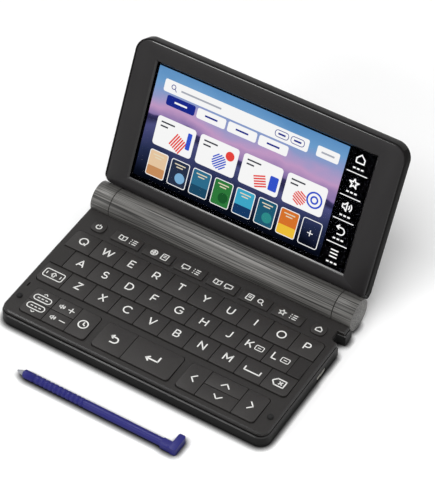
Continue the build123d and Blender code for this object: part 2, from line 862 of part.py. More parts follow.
def lid_slab(inset, w0, w1):
    """Slab in the outline of the shut lid, drawn in by the given inset."""
    half = case_half - inset
    return slab(-half, half, inset - lid_tip, -lid_heel_start, w0, w1, lid_corner - inset, 0)


def along_barrel(plate, inset, grow=0):
    """Hollow a lid slab along the barrel and round the lower corners."""
    ends = heel_corners(case_half - inset, hollow_radius + grow, lid_heel_corner - inset)
    return plate - [barrel_hollow(grow)] - ends


def neck_room(grow):
    """The pair of bars that join the lid to the barrel's end sections."""
    bar = block(neck_outer - neck_width - grow, neck_outer + grow, -neck_high - grow, -barrel_radius / 2,
                neck_front - grow, neck_front + neck_thick + grow)
    return mirrored_x(bar)


def lid_cover():
    """Back shell of the lid, with pads that hold the display."""
    outer = lid_slab(0, lid_face + bezel_drop, lid_back)
    rim = [e for e in outer.edges().group_by(Axis.Z)[-1] if e.center().Y < -lid_heel_start - 1]
    outer = along_barrel(chamfer(rim, lid_edge_round), 0)
    cavity = lid_slab(lid_wall, 0, inner_w) - barrel_hollow(lid_wall)
    rebate = lid_slab(bezel_inset - bezel_gap, 0, glass_w)
    shell = outer - [cavity, rebate] - neck_room(neck_gap)
    pads = [block(x - pad_half_length, x + pad_half_length, -v - pad_half_width, -v + pad_half_width,
                  panel_back, inner_w + lid_wall / 4)
            for x in (-pad_x, pad_x) for v in (window_low + pad_inset, window_high - pad_inset)]
    return on_hinge(fused([shell] + pads))


def lid_bezel():
    """Front frame of the lid with a bevelled window."""
    frame = lid_slab(bezel_inset, lid_face, glass_w)
    rim = [e for e in frame.edges().group_by(Axis.Z)[0] if e.center().Y < -lid_heel_start - 1]
    frame = along_barrel(chamfer(rim, bezel_chamfer), bezel_inset)
    width, height = window_right - window_left, window_high - window_low
    centre = Pos((window_left + window_right) / 2, -(window_low + window_high) / 2, 0)
    small = Rectangle(width, height)
    large = Rectangle(width + 2 * window_bevel, height + 2 * window_bevel)
    bevel = loft([Pos(0, 0, lid_face) * large, Pos(0, 0, lid_face + window_bevel) * small])
    throat = Pos(0, 0, glass_w / 2) * Box(width, height, glass_w + 1)
    return on_hinge(frame - [centre * bevel, centre * throat])


def touch_glass():
    """Sheet of glass behind the bezel's window."""
    m = glass_margin
    return on_hinge(block(window_left - m, window_right + m, -window_high - m, m - window_low,
                          glass_w, panel_w))


def display_panel():
    """Liquid crystal module behind the glass, in its shallow frame."""
    m = panel_margin
    body = block(window_left - m, window_right + m, -window_high - m, m - window_low, panel_w, panel_back)
    return on_hinge(chamfer(body.edges().group_by(Axis.Z)[-1], panel_chamfer))


def hinge_ends():
    """The barrel's two end sections, which carry the lid on their necks."""
    drum = rod_x(barrel_radius, drum_start, barrel_end, 0, 0)
    drum -= rod_x(axle_radius + axle_seat_gap, 0, drum_start + axle_grip + axle_gap, 0, 0)
    bar = neck_room(0)[0] - rod_x(barrel_radius - barrel_wall, 0, through, 0, 0)
    return on_hinge(Compound(mirrored_x(drum + bar)))


# ---- stylus ----
def stylus():
    """Stylus with a flat hooked head and a tapered nib."""
    z = floor_z + stylus_radius
    tip = stylus_head_x - stylus_shaft
    shaft = rod_x(stylus_radius, tip + nib_length, stylus_head_x + head_width / 2, stylus_y, z)
    nib = Pos(tip + nib_length / 2, stylus_y, z) * Rot(0, 90, 0)
    nib *= Cone(nib_radius, nib_root_radius, nib_length)
    collar = block(stylus_head_x - collar_length, stylus_head_x + head_width / 2, stylus_y - collar_reach,
                   stylus_y + stylus_radius, floor_z, floor_z + 2 * stylus_radius)
    collar = chamfer(collar.edges().filter_by(Axis.X), collar_chamfer)
    hook = block(stylus_head_x, stylus_head_x + head_width, stylus_y - collar_reach,
                 stylus_y + head_rear, floor_z, floor_z + 2 * stylus_radius)
    hook = fillet(hook.edges().filter_by(Axis.Z), head_corner)
    return fused([shaft, nib, collar, hook])


# ---- write every piece ----
def keys():
    """Every key by name."""
    found = {}
    block_span = [(-letter_half, letter_half)]
    for name, *cell in letter_cells():
        corners = outer_corners(*cell, block_span, key_gap / 2)
        outward = [(x, y) for x, y in corners if is_block_corner(y)]
        found[name] = plain_key(*cell, outward, letter_corner)
    for name, *cell in cluster_cells():
        corners = outer_corners(*cell, group_spans(), key_gap / 2)
        make = rocker_key if name.endswith("rocker") else plain_key
        found[name] = make(*cell, corners)
    for name, *cell in round_cells():
        found[name] = plain_key(*cell, square(*cell), round_key_corner, 0)
    wide = [plain_key(*cell, function_corners(index, cell), function_corner, 0)
            for index, cell in enumerate(function_cells())]
    found["function_keys"] = Compound(wide)
    return found


pieces = {
    "lower_case": lower_case,
    "upper_case": upper_case,
    "key_membrane": key_membrane,
    "main_board": main_board,
    "speaker": speaker,
    "usb_socket": usb_socket,
    "headphone_jack": headphone_jack,
    "case_screws": case_screws,
    "rubber_pads": rubber_pads,
    "hinge_barrel": hinge_barrel,
    "battery_door": battery_door,
    "battery_cells": battery_cells,
    "battery_contacts": battery_contacts,
    "hinge_axles": hinge_axles,
    "lid_cover": lid_cover,
    "lid_bezel": lid_bezel,
    "touch_glass": touch_glass,
    "display_panel": display_panel,
    "hinge_ends": hinge_ends,
    "stylus": stylus,
}

for name, make in pieces.items():
    export_step(make(), f"parts/{name}.step")
for name, shape in keys().items():
    export_step(shape, f"parts/{name}.step")
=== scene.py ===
"""Pocket electronic dictionary, lid open on its barrel hinge, with its stylus lying in front."""

import json
import logging
import math
from dataclasses import dataclass
from enum import Enum
from typing import Callable, Iterable, Sequence

import bpy
from mathutils import Matrix, Vector
from mathutils.bvhtree import BVHTree

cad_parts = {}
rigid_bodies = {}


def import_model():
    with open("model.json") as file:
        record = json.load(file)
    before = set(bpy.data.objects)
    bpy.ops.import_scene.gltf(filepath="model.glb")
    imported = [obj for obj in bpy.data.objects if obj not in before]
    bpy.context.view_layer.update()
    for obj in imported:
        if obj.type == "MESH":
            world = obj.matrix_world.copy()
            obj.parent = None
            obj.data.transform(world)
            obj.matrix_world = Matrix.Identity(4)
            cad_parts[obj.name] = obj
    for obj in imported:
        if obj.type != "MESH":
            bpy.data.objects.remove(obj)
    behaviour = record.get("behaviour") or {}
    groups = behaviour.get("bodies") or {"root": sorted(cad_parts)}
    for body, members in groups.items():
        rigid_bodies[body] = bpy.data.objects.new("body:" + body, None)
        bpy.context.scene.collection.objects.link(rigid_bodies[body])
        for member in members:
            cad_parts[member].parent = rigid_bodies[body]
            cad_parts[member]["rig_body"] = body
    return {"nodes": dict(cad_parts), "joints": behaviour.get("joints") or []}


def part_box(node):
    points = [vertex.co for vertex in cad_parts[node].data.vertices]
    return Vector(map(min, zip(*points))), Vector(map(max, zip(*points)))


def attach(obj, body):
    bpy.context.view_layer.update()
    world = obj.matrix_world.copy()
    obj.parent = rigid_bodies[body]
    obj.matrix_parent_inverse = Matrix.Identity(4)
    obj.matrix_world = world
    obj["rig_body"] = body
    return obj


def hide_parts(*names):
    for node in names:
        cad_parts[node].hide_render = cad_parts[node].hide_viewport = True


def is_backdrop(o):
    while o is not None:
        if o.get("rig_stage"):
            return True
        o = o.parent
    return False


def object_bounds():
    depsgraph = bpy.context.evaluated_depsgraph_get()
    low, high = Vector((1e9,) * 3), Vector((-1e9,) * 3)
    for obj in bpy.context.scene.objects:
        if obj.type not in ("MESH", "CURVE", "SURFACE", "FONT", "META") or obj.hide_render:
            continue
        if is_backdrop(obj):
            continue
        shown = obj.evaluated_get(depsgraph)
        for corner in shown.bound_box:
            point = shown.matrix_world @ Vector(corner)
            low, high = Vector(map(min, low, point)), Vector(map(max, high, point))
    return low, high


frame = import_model()

LOG = logging.getLogger("dictionary")
Piece = bpy.types.Object
Tree = bpy.types.NodeTree
Node = bpy.types.Node
Feeds = dict[str | int, object]
Point = tuple[float, float]
Stroke = list[Point]

MM = 0.001
NEAR = 0.01 * MM  # heights and places this near are the same
MERGE = 0.002 * MM  # corners closer than this are one
FLAT = math.radians(0.5)  # faces bent less than this are one
SHARP = 35.0  # edges bent more than this many degrees stay sharp
LEAST_LEAN, MOST_LEAN = 0.3, 0.95
INK = 0.02  # thickness of a printed layer, in millimetres
SAME = 1e-6  # ends of a drawn line this near, in millimetres, close it
LENS_SPAN = (0.05, 20.0)
WHITE = (1.0, 1.0, 1.0, 1.0)
UNLIT = {"Base Color": (0.0, 0.0, 0.0, 1.0), "Roughness": 0.5, "Specular IOR Level": 0.0}


# ---- hands: small helpers that the sub-assemblies share ----
def deselect() -> None:
    """Leave edit mode and drop the selection."""
    if bpy.context.object and bpy.context.object.mode != "OBJECT":
        bpy.ops.object.mode_set(mode="OBJECT")
    bpy.ops.object.select_all(action="DESELECT")


def activate(piece: Piece) -> None:
    """Select one piece alone.

    Args:
        piece: The piece.
    """
    deselect()
    piece.select_set(True)
    bpy.context.view_layer.objects.active = piece


def in_edit(piece: Piece, *steps: tuple) -> None:
    """Run mesh operators on a whole piece.

    Args:
        piece: The mesh to work on.
        steps: Pairs of an operator and its settings.
    """
    activate(piece)
    bpy.ops.object.mode_set(mode="EDIT")
    bpy.ops.mesh.select_all(action="SELECT")
    for operator, settings in steps:
        operator(**settings)
    bpy.ops.object.mode_set(mode="OBJECT")


def modify(piece: Piece, kind: str, **settings: object) -> None:
    """Add a modifier to a piece and apply it at once.

    Args:
        piece: The mesh to change.
        kind: Blender's name for the modifier type.
        settings: Its properties.
    """
    activate(piece)
    modifier = piece.modifiers.new(kind.lower(), kind)
    for key, value in settings.items():
        setattr(modifier, key, value)
    bpy.ops.object.modifier_apply(modifier=modifier.name)


def smooth(piece: Piece) -> None:
    """Shade a piece smooth except at its sharp edges."""
    activate(piece)
    bpy.ops.object.shade_smooth_by_angle(angle=math.radians(SHARP))


def place(piece: Piece, matrix: Matrix) -> None:
    """Move a piece by moving its mesh, so that the object stays at the origin."""
    piece.data.transform(matrix)
    piece.data.update()


def added(name: str, data: bpy.types.ID) -> Piece:
    """Put an object with this data into the scene.

    Args:
        name: Its name.
        data: Its mesh, lens or light.

    Returns:
        The object.
    """
    piece = bpy.data.objects.new(name, data)
    bpy.context.scene.collection.objects.link(piece)
    return piece


def joined(pieces: Sequence[Piece], name: str) -> Piece:
    """Join meshes into one piece.

    Args:
        pieces: The meshes, each at the origin.
        name: The name of the result.

    Returns:
        The joined piece.
    """
    deselect()
    for piece in pieces:
        piece.select_set(True)
    bpy.context.view_layer.objects.active = pieces[0]
    if len(pieces) > 1:
        bpy.ops.object.join()
    pieces[0].name = name
    return pieces[0]


def box_piece(name: str, low: Vector, high: Vector) -> Piece:
    """A block between two corners, with its size and place in its mesh.

    Args:
        name: The piece's name.
        low: The corner with the least coordinates.
        high: The opposite corner.

    Returns:
        The block.
    """
    deselect()
    bpy.ops.mesh.primitive_cube_add(size=1.0)
    piece = bpy.context.object
    piece.name = name
    size = high - low
    place(piece, Matrix.Translation((low + high) / 2) @ Matrix.Diagonal((*size, 1.0)))
    return piece


def clean_copy(node: str, name: str) -> Piece:
    """A copy of a CAD node's mesh, its loose triangles merged into whole faces.

    Args:
        node: The CAD node's name.
        name: The copy's name.

    Returns:
        The copy.
    """
    piece = added(name, frame["nodes"][node].data.copy())
    in_edit(piece, (bpy.ops.mesh.remove_doubles, {"threshold": MERGE}),
            (bpy.ops.mesh.dissolve_limited, {"angle_limit": FLAT}))
    return piece


def refined(node: str, edge: float, segments: int = 2, angle: float = 25.0) -> Piece:
    """A copy of a CAD node whose edges are rounded; it stands for the node.

    Args:
        node: The CAD node's name.
        edge: The rounding's width in millimetres.
        segments: Steps across the rounding.
        angle: Edges bent less than this many degrees stay as they are.

    Returns:
        The new piece, riding on the node's body.
    """
    source, piece = frame["nodes"][node], clean_copy(node, f"{node}_finished")
    if edge:
        modify(piece, "BEVEL", width=edge * MM, segments=segments, limit_method="ANGLE",
               angle_limit=math.radians(angle), miter_outer="MITER_ARC", harden_normals=False)
    smooth(piece)
    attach(piece, source["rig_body"])
    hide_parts(node)
    return piece


def slanted(cosine: float) -> bool:
    """Whether a face leans, by the cosine of its angle."""
    return LEAST_LEAN < cosine < MOST_LEAN


# ---- finishes ----
def polish(piece: Piece, finish: "Finish", chosen: Callable[[bpy.types.MeshPolygon], bool]) -> None:
    """Give some faces of a dressed piece a second finish.

    Args:
        piece: The piece.
        finish: The second finish.
        chosen: Whether a face gets it.
    """
    piece.data.materials.append(finish.material())
    for face in piece.data.polygons:
        if chosen(face):
            face.material_index = len(piece.data.materials) - 1


def to_linear(colour: str) -> tuple[float, float, float, float]:
    """Linear colour of an sRGB hex value.

    Args:
        colour: Six hex digits.

    Returns:
        Red, green, blue and a full alpha.
    """
    parts = [int(colour[i:i + 2], 16) / 255 for i in (0, 2, 4)]
    linear = [c / 12.92 if c <= 0.04045 else ((c + 0.055) / 1.055) ** 2.4 for c in parts]
    return (*linear, 1.0)


def feed(tree: Tree, node: Node, inputs: Feeds) -> None:
    """Set or link a node's inputs.

    Args:
        tree: The node tree.
        node: The node.
        inputs: For each input socket, a value, the socket that feeds it, or the node whose first output does.
    """
    for key, value in inputs.items():
        source = value.outputs[0] if isinstance(value, Node) else value
        if isinstance(source, bpy.types.NodeSocket):
            tree.links.new(source, node.inputs[key])
        else:
            node.inputs[key].default_value = source


def add_node(tree: Tree, kind: str, settings: dict[str, object] | None = None, inputs: Feeds | None = None) -> Node:
    """Add a shader node with its settings and its links.

    Args:
        tree: The node tree.
        kind: The node's type name, less the words ShaderNode.
        settings: Properties of the node.
        inputs: What feeds each input, as feed takes it.

    Returns:
        The node.
    """
    node = tree.nodes.new(f"ShaderNode{kind}")
    for key, value in (settings or {}).items():
        setattr(node, key, value)
    feed(tree, node, inputs or {})
    return node


def dress(piece: Piece, finish: "Finish") -> None:
    """Give a piece one finish, and report it.

    Args:
        piece: The piece.
        finish: The finish.
    """
    piece.data.materials.clear()
    piece.data.materials.append(finish.material())
    LOG.info("%s in %s", piece.name, finish.name)


def dress_nodes(**finishes: "Finish") -> None:
    """Dress CAD nodes that keep their shapes."""
    for node, finish in finishes.items():
        dress(frame["nodes"][node], finish)


@dataclass(frozen=True)
class Finish:
    """A surface finish; its material is made once and shared."""

    name: str
    colour: str

    def material(self) -> bpy.types.Material:
        """The finish as a Blender material.

        Returns:
            The material, made at its first use.
        """
        material = bpy.data.materials.get(self.name)
        if not material:
            material = bpy.data.materials.new(self.name)
            material.use_nodes = True
            tree = material.node_tree
            feed(tree, tree.nodes["Principled BSDF"], self.shade(tree))
        return material

    def shade(self, tree: Tree) -> Feeds:
        """What feeds the shader's inputs, with its nodes added to the tree."""
        raise NotImplementedError

    def toned(self, tree: Tree, amount: Node) -> Node:
        """The finish's colour, made lighter and darker by an amount."""
        return add_node(tree, "VectorMath", {"operation": "SCALE"}, {0: to_linear(self.colour)[:3], "Scale": amount})


@dataclass(frozen=True)
class MouldedPlastic(Finish):
    """Injection-moulded ABS with a spark-eroded grain, which breaks its reflections into a soft sheen."""

    roughness: float = 0.5
    grain: float = 0.35
    relief: float = 0.01
    mottle: float = 0.12
    specular: float = 0.3
    cloud: float = 18.0
    wear: float = 0.04

    def shade(self, tree: Tree) -> Feeds:
        """A fine noise gives tone and relief, a wide one the wear in the sheen.

        Args:
            tree: The material's node tree.

        Returns:
            What feeds the shader's inputs.
        """
        where = add_node(tree, "TexCoord").outputs["Object"]
        grain = add_node(tree, "TexNoise", inputs={
            "Vector": where, "Scale": 1 / (self.grain * MM), "Detail": 3.0, "Roughness": 0.6})
        cloud = add_node(tree, "TexNoise", inputs={"Vector": where, "Scale": 1 / (self.cloud * MM), "Detail": 2.0})
        amount = add_node(tree, "MapRange", inputs={
            "Value": grain, "From Min": 0.3, "From Max": 0.7, "To Min": 1 - self.mottle, "To Max": 1 + self.mottle})
        rough = add_node(tree, "MapRange", inputs={
            "Value": cloud, "From Min": 0.3, "From Max": 0.7,
            "To Min": self.roughness - self.wear, "To Max": self.roughness + self.wear})
        bump = add_node(tree, "Bump", inputs={"Height": grain, "Distance": self.relief * MM, "Strength": 0.6})
        return {"Base Color": self.toned(tree, amount), "Roughness": rough, "Normal": bump,
                "Specular IOR Level": self.specular}


@dataclass(frozen=True)
class BrushedPaint(Finish):
    """Metallic paint brushed along the barrel: fine lengthwise lines, light and dark, under a satin coat."""

    line: float = 0.55
    length: float = 60.0
    roughness: float = 0.42
    wear: float = 0.08
    relief: float = 0.02

    def shade(self, tree: Tree) -> Feeds:
        """A noise stretched along the barrel gives tone, sheen and relief.

        Args:
            tree: The material's node tree.

        Returns:
            What feeds the shader's inputs.
        """
        across = 1 / (self.line * MM)
        stretched = add_node(tree, "Mapping", inputs={
            "Vector": add_node(tree, "TexCoord").outputs["Object"], "Scale": (1 / (self.length * MM), across, across)})
        lines = add_node(tree, "TexNoise", inputs={"Vector": stretched, "Scale": 1.0, "Detail": 2.0, "Roughness": 0.6})
        amount = add_node(tree, "MapRange", inputs={
            "Value": lines, "From Min": 0.35, "From Max": 0.65, "To Min": 0.15, "To Max": 2.3})
        rough = add_node(tree, "MapRange", inputs={
            "Value": lines, "From Min": 0.3, "From Max": 0.7,
            "To Min": self.roughness + self.wear, "To Max": self.roughness - self.wear})
        bump = add_node(tree, "Bump", inputs={"Height": lines, "Distance": self.relief * MM, "Strength": 0.6})
        return {"Base Color": self.toned(tree, amount), "Roughness": rough, "Normal": bump,
                "Metallic": 0.15, "Specular IOR Level": 0.35}


@dataclass(frozen=True)
class Metal(Finish):
    """Bare or plated metal with a faint directional polish that stretches its highlights."""

    roughness: float = 0.3
    grain: float = 0.15
    metallic: float = 1.0
    wear: float = 0.06
    relief: float = 0.004

    def shade(self, tree: Tree) -> Feeds:
        """One fine noise gives tone, sheen and relief.

        Args:
            tree: The material's node tree.

        Returns:
            What feeds the shader's inputs.
        """
        grain = add_node(tree, "TexNoise", inputs={
            "Vector": add_node(tree, "TexCoord").outputs["Object"], "Scale": 1 / (self.grain * MM), "Detail": 2.0})
        amount = add_node(tree, "MapRange", inputs={"Value": grain, "To Min": 0.85, "To Max": 1.1})
        rough = add_node(tree, "MapRange", inputs={
            "Value": grain, "To Min": self.roughness - self.wear, "To Max": self.roughness + self.wear})
        bump = add_node(tree, "Bump", inputs={"Height": grain, "Distance": self.relief * MM, "Strength": 0.4})
        return {"Base Color": self.toned(tree, amount), "Roughness": rough, "Normal": bump, "Metallic": self.metallic}


@dataclass(frozen=True)
class ClearGlass(Finish):
    """Glass of the touch panel: clear and coated against reflections, a little greasy from fingers."""

    smear: float = 22.0
    index: float = 1.03

    def shade(self, tree: Tree) -> Feeds:
        """A wide noise gives the smears.

        Args:
            tree: The material's node tree.

        Returns:
            What feeds the shader's inputs.
        """
        where = add_node(tree, "TexCoord").outputs["Object"]
        smear = add_node(tree, "TexNoise", inputs={"Vector": where, "Scale": 1 / (self.smear * MM), "Detail": 4.0})
        rough = add_node(tree, "MapRange", inputs={
            "Value": smear, "From Min": 0.35, "From Max": 0.7, "To Min": 0.0, "To Max": 0.03})
        return {"Base Color": to_linear(self.colour), "Roughness": rough, "Transmission Weight": 1.0,
                "IOR": self.index}


@dataclass(frozen=True)
class LitColour(Finish):
    """One colour of the lit display, a back-lit liquid crystal that glows evenly through a fine pixel mesh."""

    glow: float = 0.95
    pixel: float = 0.25

    def shade(self, tree: Tree) -> Feeds:
        """A glow, faintly uneven from pixel to pixel.

        Args:
            tree: The material's node tree.

        Returns:
            What feeds the shader's inputs.
        """
        mesh = add_node(tree, "TexNoise", inputs={
            "Vector": add_node(tree, "TexCoord").outputs["Object"], "Scale": 1 / (self.pixel * MM)})
        amount = add_node(tree, "MapRange", inputs={"Value": mesh, "To Min": 0.95, "To Max": 1.05})
        return {**UNLIT, "Emission Color": self.toned(tree, amount), "Emission Strength": self.glow}


@dataclass(frozen=True)
class DuskPicture(Finish):
    """The display's backdrop: blue above, a lilac band with soft ridges, and deep blue below, all softly lit."""

    glow: float = 0.95
    sway: float = 0.22
    stops: tuple[tuple[float, str], ...] = (
        (0.0, "03050b"), (0.1, "0a0f1e"), (0.26, "262f50"), (0.45, "4c4f80"), (0.50, "2b2a4c"), (0.54, "3b3663"),
        (0.555, "8d78ad"), (0.64, "c39bc6"), (0.74, "8f9ccb"), (0.86, "6fa0cf"), (1.0, "5b8fc2"))

    def shade(self, tree: Tree) -> Feeds:
        """Colours by height on the piece's own UV map, each border swaying with a wide noise.

        Args:
            tree: The material's node tree.

        Returns:
            What feeds the shader's inputs.
        """
        surface = add_node(tree, "UVMap")
        split = add_node(tree, "SeparateXYZ", inputs={"Vector": surface})
        wave = add_node(tree, "TexNoise", {"noise_dimensions": "2D"}, {
            "Vector": surface, "Scale": 3.2, "Detail": 3.0, "Roughness": 0.55})
        sway = add_node(tree, "Math", {"operation": "MULTIPLY_ADD"}, {0: wave, 1: self.sway, 2: split.outputs["Y"]})
        height = add_node(tree, "Math", {"operation": "SUBTRACT"}, {0: sway, 1: self.sway / 2})
        ramp = add_node(tree, "ValToRGB", inputs={"Fac": height})
        ladder = ramp.color_ramp.elements
        for index, (position, colour) in enumerate(self.stops):
            stop = ladder[index] if index < 2 else ladder.new(position)
            stop.position = position
            stop.color = to_linear(colour)
        return {**UNLIT, "Emission Color": ramp, "Emission Strength": self.glow}


@dataclass(frozen=True)
class ShadowPaper(Finish):
    """Matt paper under everything, with painted contact shade: its colour is darkened where something stands on it, on
    top of the lamps' shadows.
    """

    # Reach in millimetres and steepness of the painted contact shade.
    painted_contact_shade: float = 3.2
    depth: float = 3.4
    near: float = 0.2
    far: float = 0.7
    haze: float = 0.55

    def shade(self, tree: Tree) -> Feeds:
        """Painted shade darkens the colour in narrow gaps; far off it turns white for the eye alone.

        Args:
            tree: The material's node tree.

        Returns:
            What feeds the shader's inputs.
        """
        # Painted shade: an ambient occlusion darkens the paper's colour in the narrow gaps beside the object.
        painted_contact_shade = add_node(tree, "AmbientOcclusion", {"samples": 16}, {"Distance": self.painted_contact_shade * MM})
        soft = add_node(tree, "Math", {"operation": "POWER"}, {0: painted_contact_shade.outputs["AO"], 1: self.depth})
        away = add_node(tree, "VectorMath", {"operation": "LENGTH"}, {0: add_node(tree, "TexCoord").outputs["Object"]})
        fade = add_node(tree, "MapRange", inputs={
            "Value": away.outputs["Value"], "From Min": self.near, "From Max": self.far,
            "To Min": 0.0, "To Max": self.haze})
        shown = add_node(tree, "Math", {"operation": "MULTIPLY"}, {
            0: fade, 1: add_node(tree, "LightPath").outputs["Is Camera Ray"]})
        return {"Base Color": self.toned(tree, soft), "Roughness": 0.9, "Specular IOR Level": 0.0,
                "Emission Color": WHITE, "Emission Strength": shown}


# Mouldings of the case and keys: coarse grain and a dull sheen, each a little paler than the one it stands in.
CASE_PLASTIC = MouldedPlastic("abs_case_black_textured", "121212", 0.45, 0.45, mottle=0.25, specular=0.08)
DECK_PLASTIC = MouldedPlastic("abs_deck_charcoal_textured", "1f1d1c", 0.45, 0.45, mottle=0.3, specular=0.25)
KEY_PLASTIC = MouldedPlastic("abs_keycap_charcoal_matt", "292726", 0.5, 0.4, mottle=0.22)
# Lid shells: finer relief. The cover's back is glossy and the bezel satin; the cover's sides get a slightly darker,
# almost unreflecting copy of its finish, as painted shade.
LID_PLASTIC = MouldedPlastic("abs_lid_black_gloss", "141313", 0.3, 0.5, 0.004, 0.06, 0.08)
LID_SIDE_SHADED_PLASTIC = MouldedPlastic("abs_lid_side_painted_shade", "121111", 0.45, 0.5, mottle=0.1, specular=0.02)
BEZEL_PLASTIC = MouldedPlastic("abs_bezel_black_satin", "171516", 0.34, 0.3, 0.005)
# Edges that the mould left polished, so that they catch the light as thin bright lines.
EDGE_PLASTIC = MouldedPlastic("abs_case_edge_polished", "1b1a1a", 0.28, 0.5, 0.002, specular=0.4)
CHAMFER_PLASTIC = MouldedPlastic("abs_window_chamfer_polished", "141313", 0.16, 0.5, 0.001, specular=0.5)
LIP_PLASTIC = MouldedPlastic("abs_notch_lip_polished", "1b1a1a", 0.22, 0.5, 0.001, specular=1.0)
# What shows through openings and below: matt nylon, dull rubber and silicone, and a green glass-cloth board.
SOCKET_PLASTIC = MouldedPlastic("nylon_socket_black", "151515", 0.6, 0.3)
FOOT_RUBBER = MouldedPlastic("rubber_foot_black", "1d1d1d", 0.75, 0.2, 0.02, specular=0.2)
MEMBRANE_RUBBER = MouldedPlastic("silicone_membrane_black", "161616", 0.7, 0.3, specular=0.2)
BOARD = MouldedPlastic("fibreglass_board_green", "1f4a34", 0.45, 0.2, mottle=0.2)
# Film behind the glass, which gives back no light; the stylus and its paler point; ink that stands a little proud.
PANEL_BLACK = MouldedPlastic("polarizer_film_black", "050507", 0.25, 0.5, 0.001, specular=0.0)
STYLUS_BLUE = MouldedPlastic("abs_stylus_ultramarine", "151563", 0.42, 0.3, mottle=0.08)
NIB_GREY = MouldedPlastic("acetal_nib_grey", "8b8d92", 0.4, 0.2)
LEGEND_INK = MouldedPlastic("ink_legend_white", "dcdcd9", 0.6, 0.2, 0.002, 0.03)
# Brushed gunmetal on the barrel; the door is a shade darker.
BARREL_PAINT = BrushedPaint("barrel_paint_brushed_gunmetal", "4e4d4b")
DOOR_PAINT = BrushedPaint("battery_door_paint_brushed_gunmetal", "484745")
# Metals: nickel plate, dull tin, black oxide, ground steel, and the cells' metallised sleeve. The grain is finer
# than the render shows at this distance, and gives a soft edge to the highlights.
PLATED_STEEL = Metal("steel_nickel_plated", "d2d0ca", 0.35)
TINNED_SHELL = Metal("steel_socket_shell_tinned", "cfcdc7", 0.5, metallic=0.6)
BLACK_STEEL = Metal("steel_screw_black_oxide", "4a4a4b", 0.4)
AXLE_STEEL = Metal("steel_axle_ground", "9d9c9a", 0.25)
CELL_SLEEVE = Metal("battery_sleeve_metallised_film", "8f8a7c", 0.35)
TOUCH_GLASS = ClearGlass("glass_touch_panel_clear", "ffffff")
# The floor; near the object its colour is darkened by painted contact shade.
PAPER = ShadowPaper("paper_backdrop_white", "f9f9f9")


# ---- flat marks: letters and symbols ----
def arc(cx: float, cy: float, radius: float, start: float, stop: float, steps: float = 14,
        stretch: float = 1.0) -> Stroke:
    """Points along an arc, with its angles in degrees; stretch widens it along x."""
    angles = [math.radians(start + (stop - start) * i / steps) for i in range(int(steps) + 1)]
    return [(cx + radius * stretch * math.cos(a), cy + radius * math.sin(a)) for a in angles]


def rounded_box(cx: float, cy: float, width: float, height: float, corner: float) -> Stroke:
    """Outline of a box with round corners.

    Args:
        cx: Middle across.
        cy: Middle up.
        width: Size across.
        height: Size up.
        corner: Radius of the corners.

    Returns:
        The closed outline.
    """
    x, y = width / 2 - corner, height / 2 - corner
    points = []
    for sx, sy, angle in ((1, 1, 0), (-1, 1, 90), (-1, -1, 180), (1, -1, 270)):
        points += arc(cx + sx * x, cy + sy * y, corner, angle, angle + 90, 4)
    return points + points[:1]


def level(left: float, right: float, y: float) -> Stroke:
    """A level line."""
    return [(left, y), (right, y)]


def drawn(note: str) -> list[Stroke]:
    """Strokes from a short note.

    Args:
        note: Strokes between bars. In each, x,y is a point, and @ or # with numbers is an arc or a rounded box.

    Returns:
        The strokes.
    """
    strokes = []
    for part in note.split("|"):
        stroke: Stroke = []
        for word in part.split():
            numbers = [float(number) for number in word.strip("@#").split(",")]
            shape = {"@": arc, "#": rounded_box}.get(word[0])
            stroke += shape(*numbers) if shape else [tuple(numbers)]
        strokes.append(stroke)
    return strokes


def moved(strokes: Sequence[Stroke], scale: float, at: Point, middle: Point = (0.0, 0.0)) -> list[Stroke]:
    """Strokes drawn to a scale about their middle, and set at a place."""
    return [[(at[0] + (x - middle[0]) * scale, at[1] + (y - middle[1]) * scale) for x, y in stroke]
            for stroke in strokes]


def ribbon(run: Stroke, width: float, closed: bool) -> tuple[Stroke, list[tuple[int, int, int, int]]]:
    """Outline points and faces of a smooth line of even width.

    Args:
        run: Points along the line.
        width: Its width.
        closed: Whether its end meets its start.

    Returns:
        Points in pairs, left and right, and the faces between the pairs.
    """
    count = len(run)
    points = []
    for index, (x, y) in enumerate(run):
        before = run[(index - 1) % count] if closed or index else run[index]
        after = run[(index + 1) % count] if closed or index < count - 1 else run[index]
        along = (Vector(after) - Vector(before)).normalized()
        side = Vector((-along.y, along.x)) * width / 2
        points += [(x + side.x, y + side.y), (x - side.x, y - side.y)]
    last = count if closed else count - 1
    faces = [(2 * i, 2 * i + 1, (2 * i + 3) % (2 * count), (2 * i + 2) % (2 * count)) for i in range(last)]
    return points, faces


def smooth_runs(stroke: Stroke, width: float) -> list[Stroke]:
    """Cut a line at its sharp corners, each part lengthened to fill the corner.

    Args:
        stroke: Points along the line.
        width: Its width.

    Returns:
        Its smooth parts.
    """
    runs, run = [], [stroke[0]]
    for before, here, after in zip(stroke, stroke[1:], stroke[2:]):
        inward, outward = Vector(here) - Vector(before), Vector(after) - Vector(here)
        run.append(here)
        if inward.angle(outward, 0.0) > math.radians(SHARP):
            step = inward.normalized() * width / 2
            run[-1] = (here[0] + step.x, here[1] + step.y)
            runs.append(run)
            step = outward.normalized() * width / 2
            run = [(here[0] - step.x, here[1] - step.y)]
    run.append(stroke[-1])
    return runs + [run]


def plated(name: str, points: Stroke, faces: Sequence[Sequence[int]], rise: float) -> Piece:
    """A thin closed plate from a flat drawing.

    Args:
        name: The piece's name.
        points: Its points in millimetres.
        faces: Its faces, as indices of the points.
        rise: Its thickness in millimetres.

    Returns:
        The plate, standing on the plane of x and y.
    """
    mesh = bpy.data.meshes.new(name)
    mesh.from_pydata([(x * MM, y * MM, 0.0) for x, y in points], [], faces)
    piece = added(name, mesh)
    in_edit(piece, (bpy.ops.mesh.extrude_region_move, {"TRANSFORM_OT_translate": {"value": (0, 0, rise * MM)}}),
            (bpy.ops.mesh.select_all, {"action": "SELECT"}),
            (bpy.ops.mesh.normals_make_consistent, {}))
    return piece


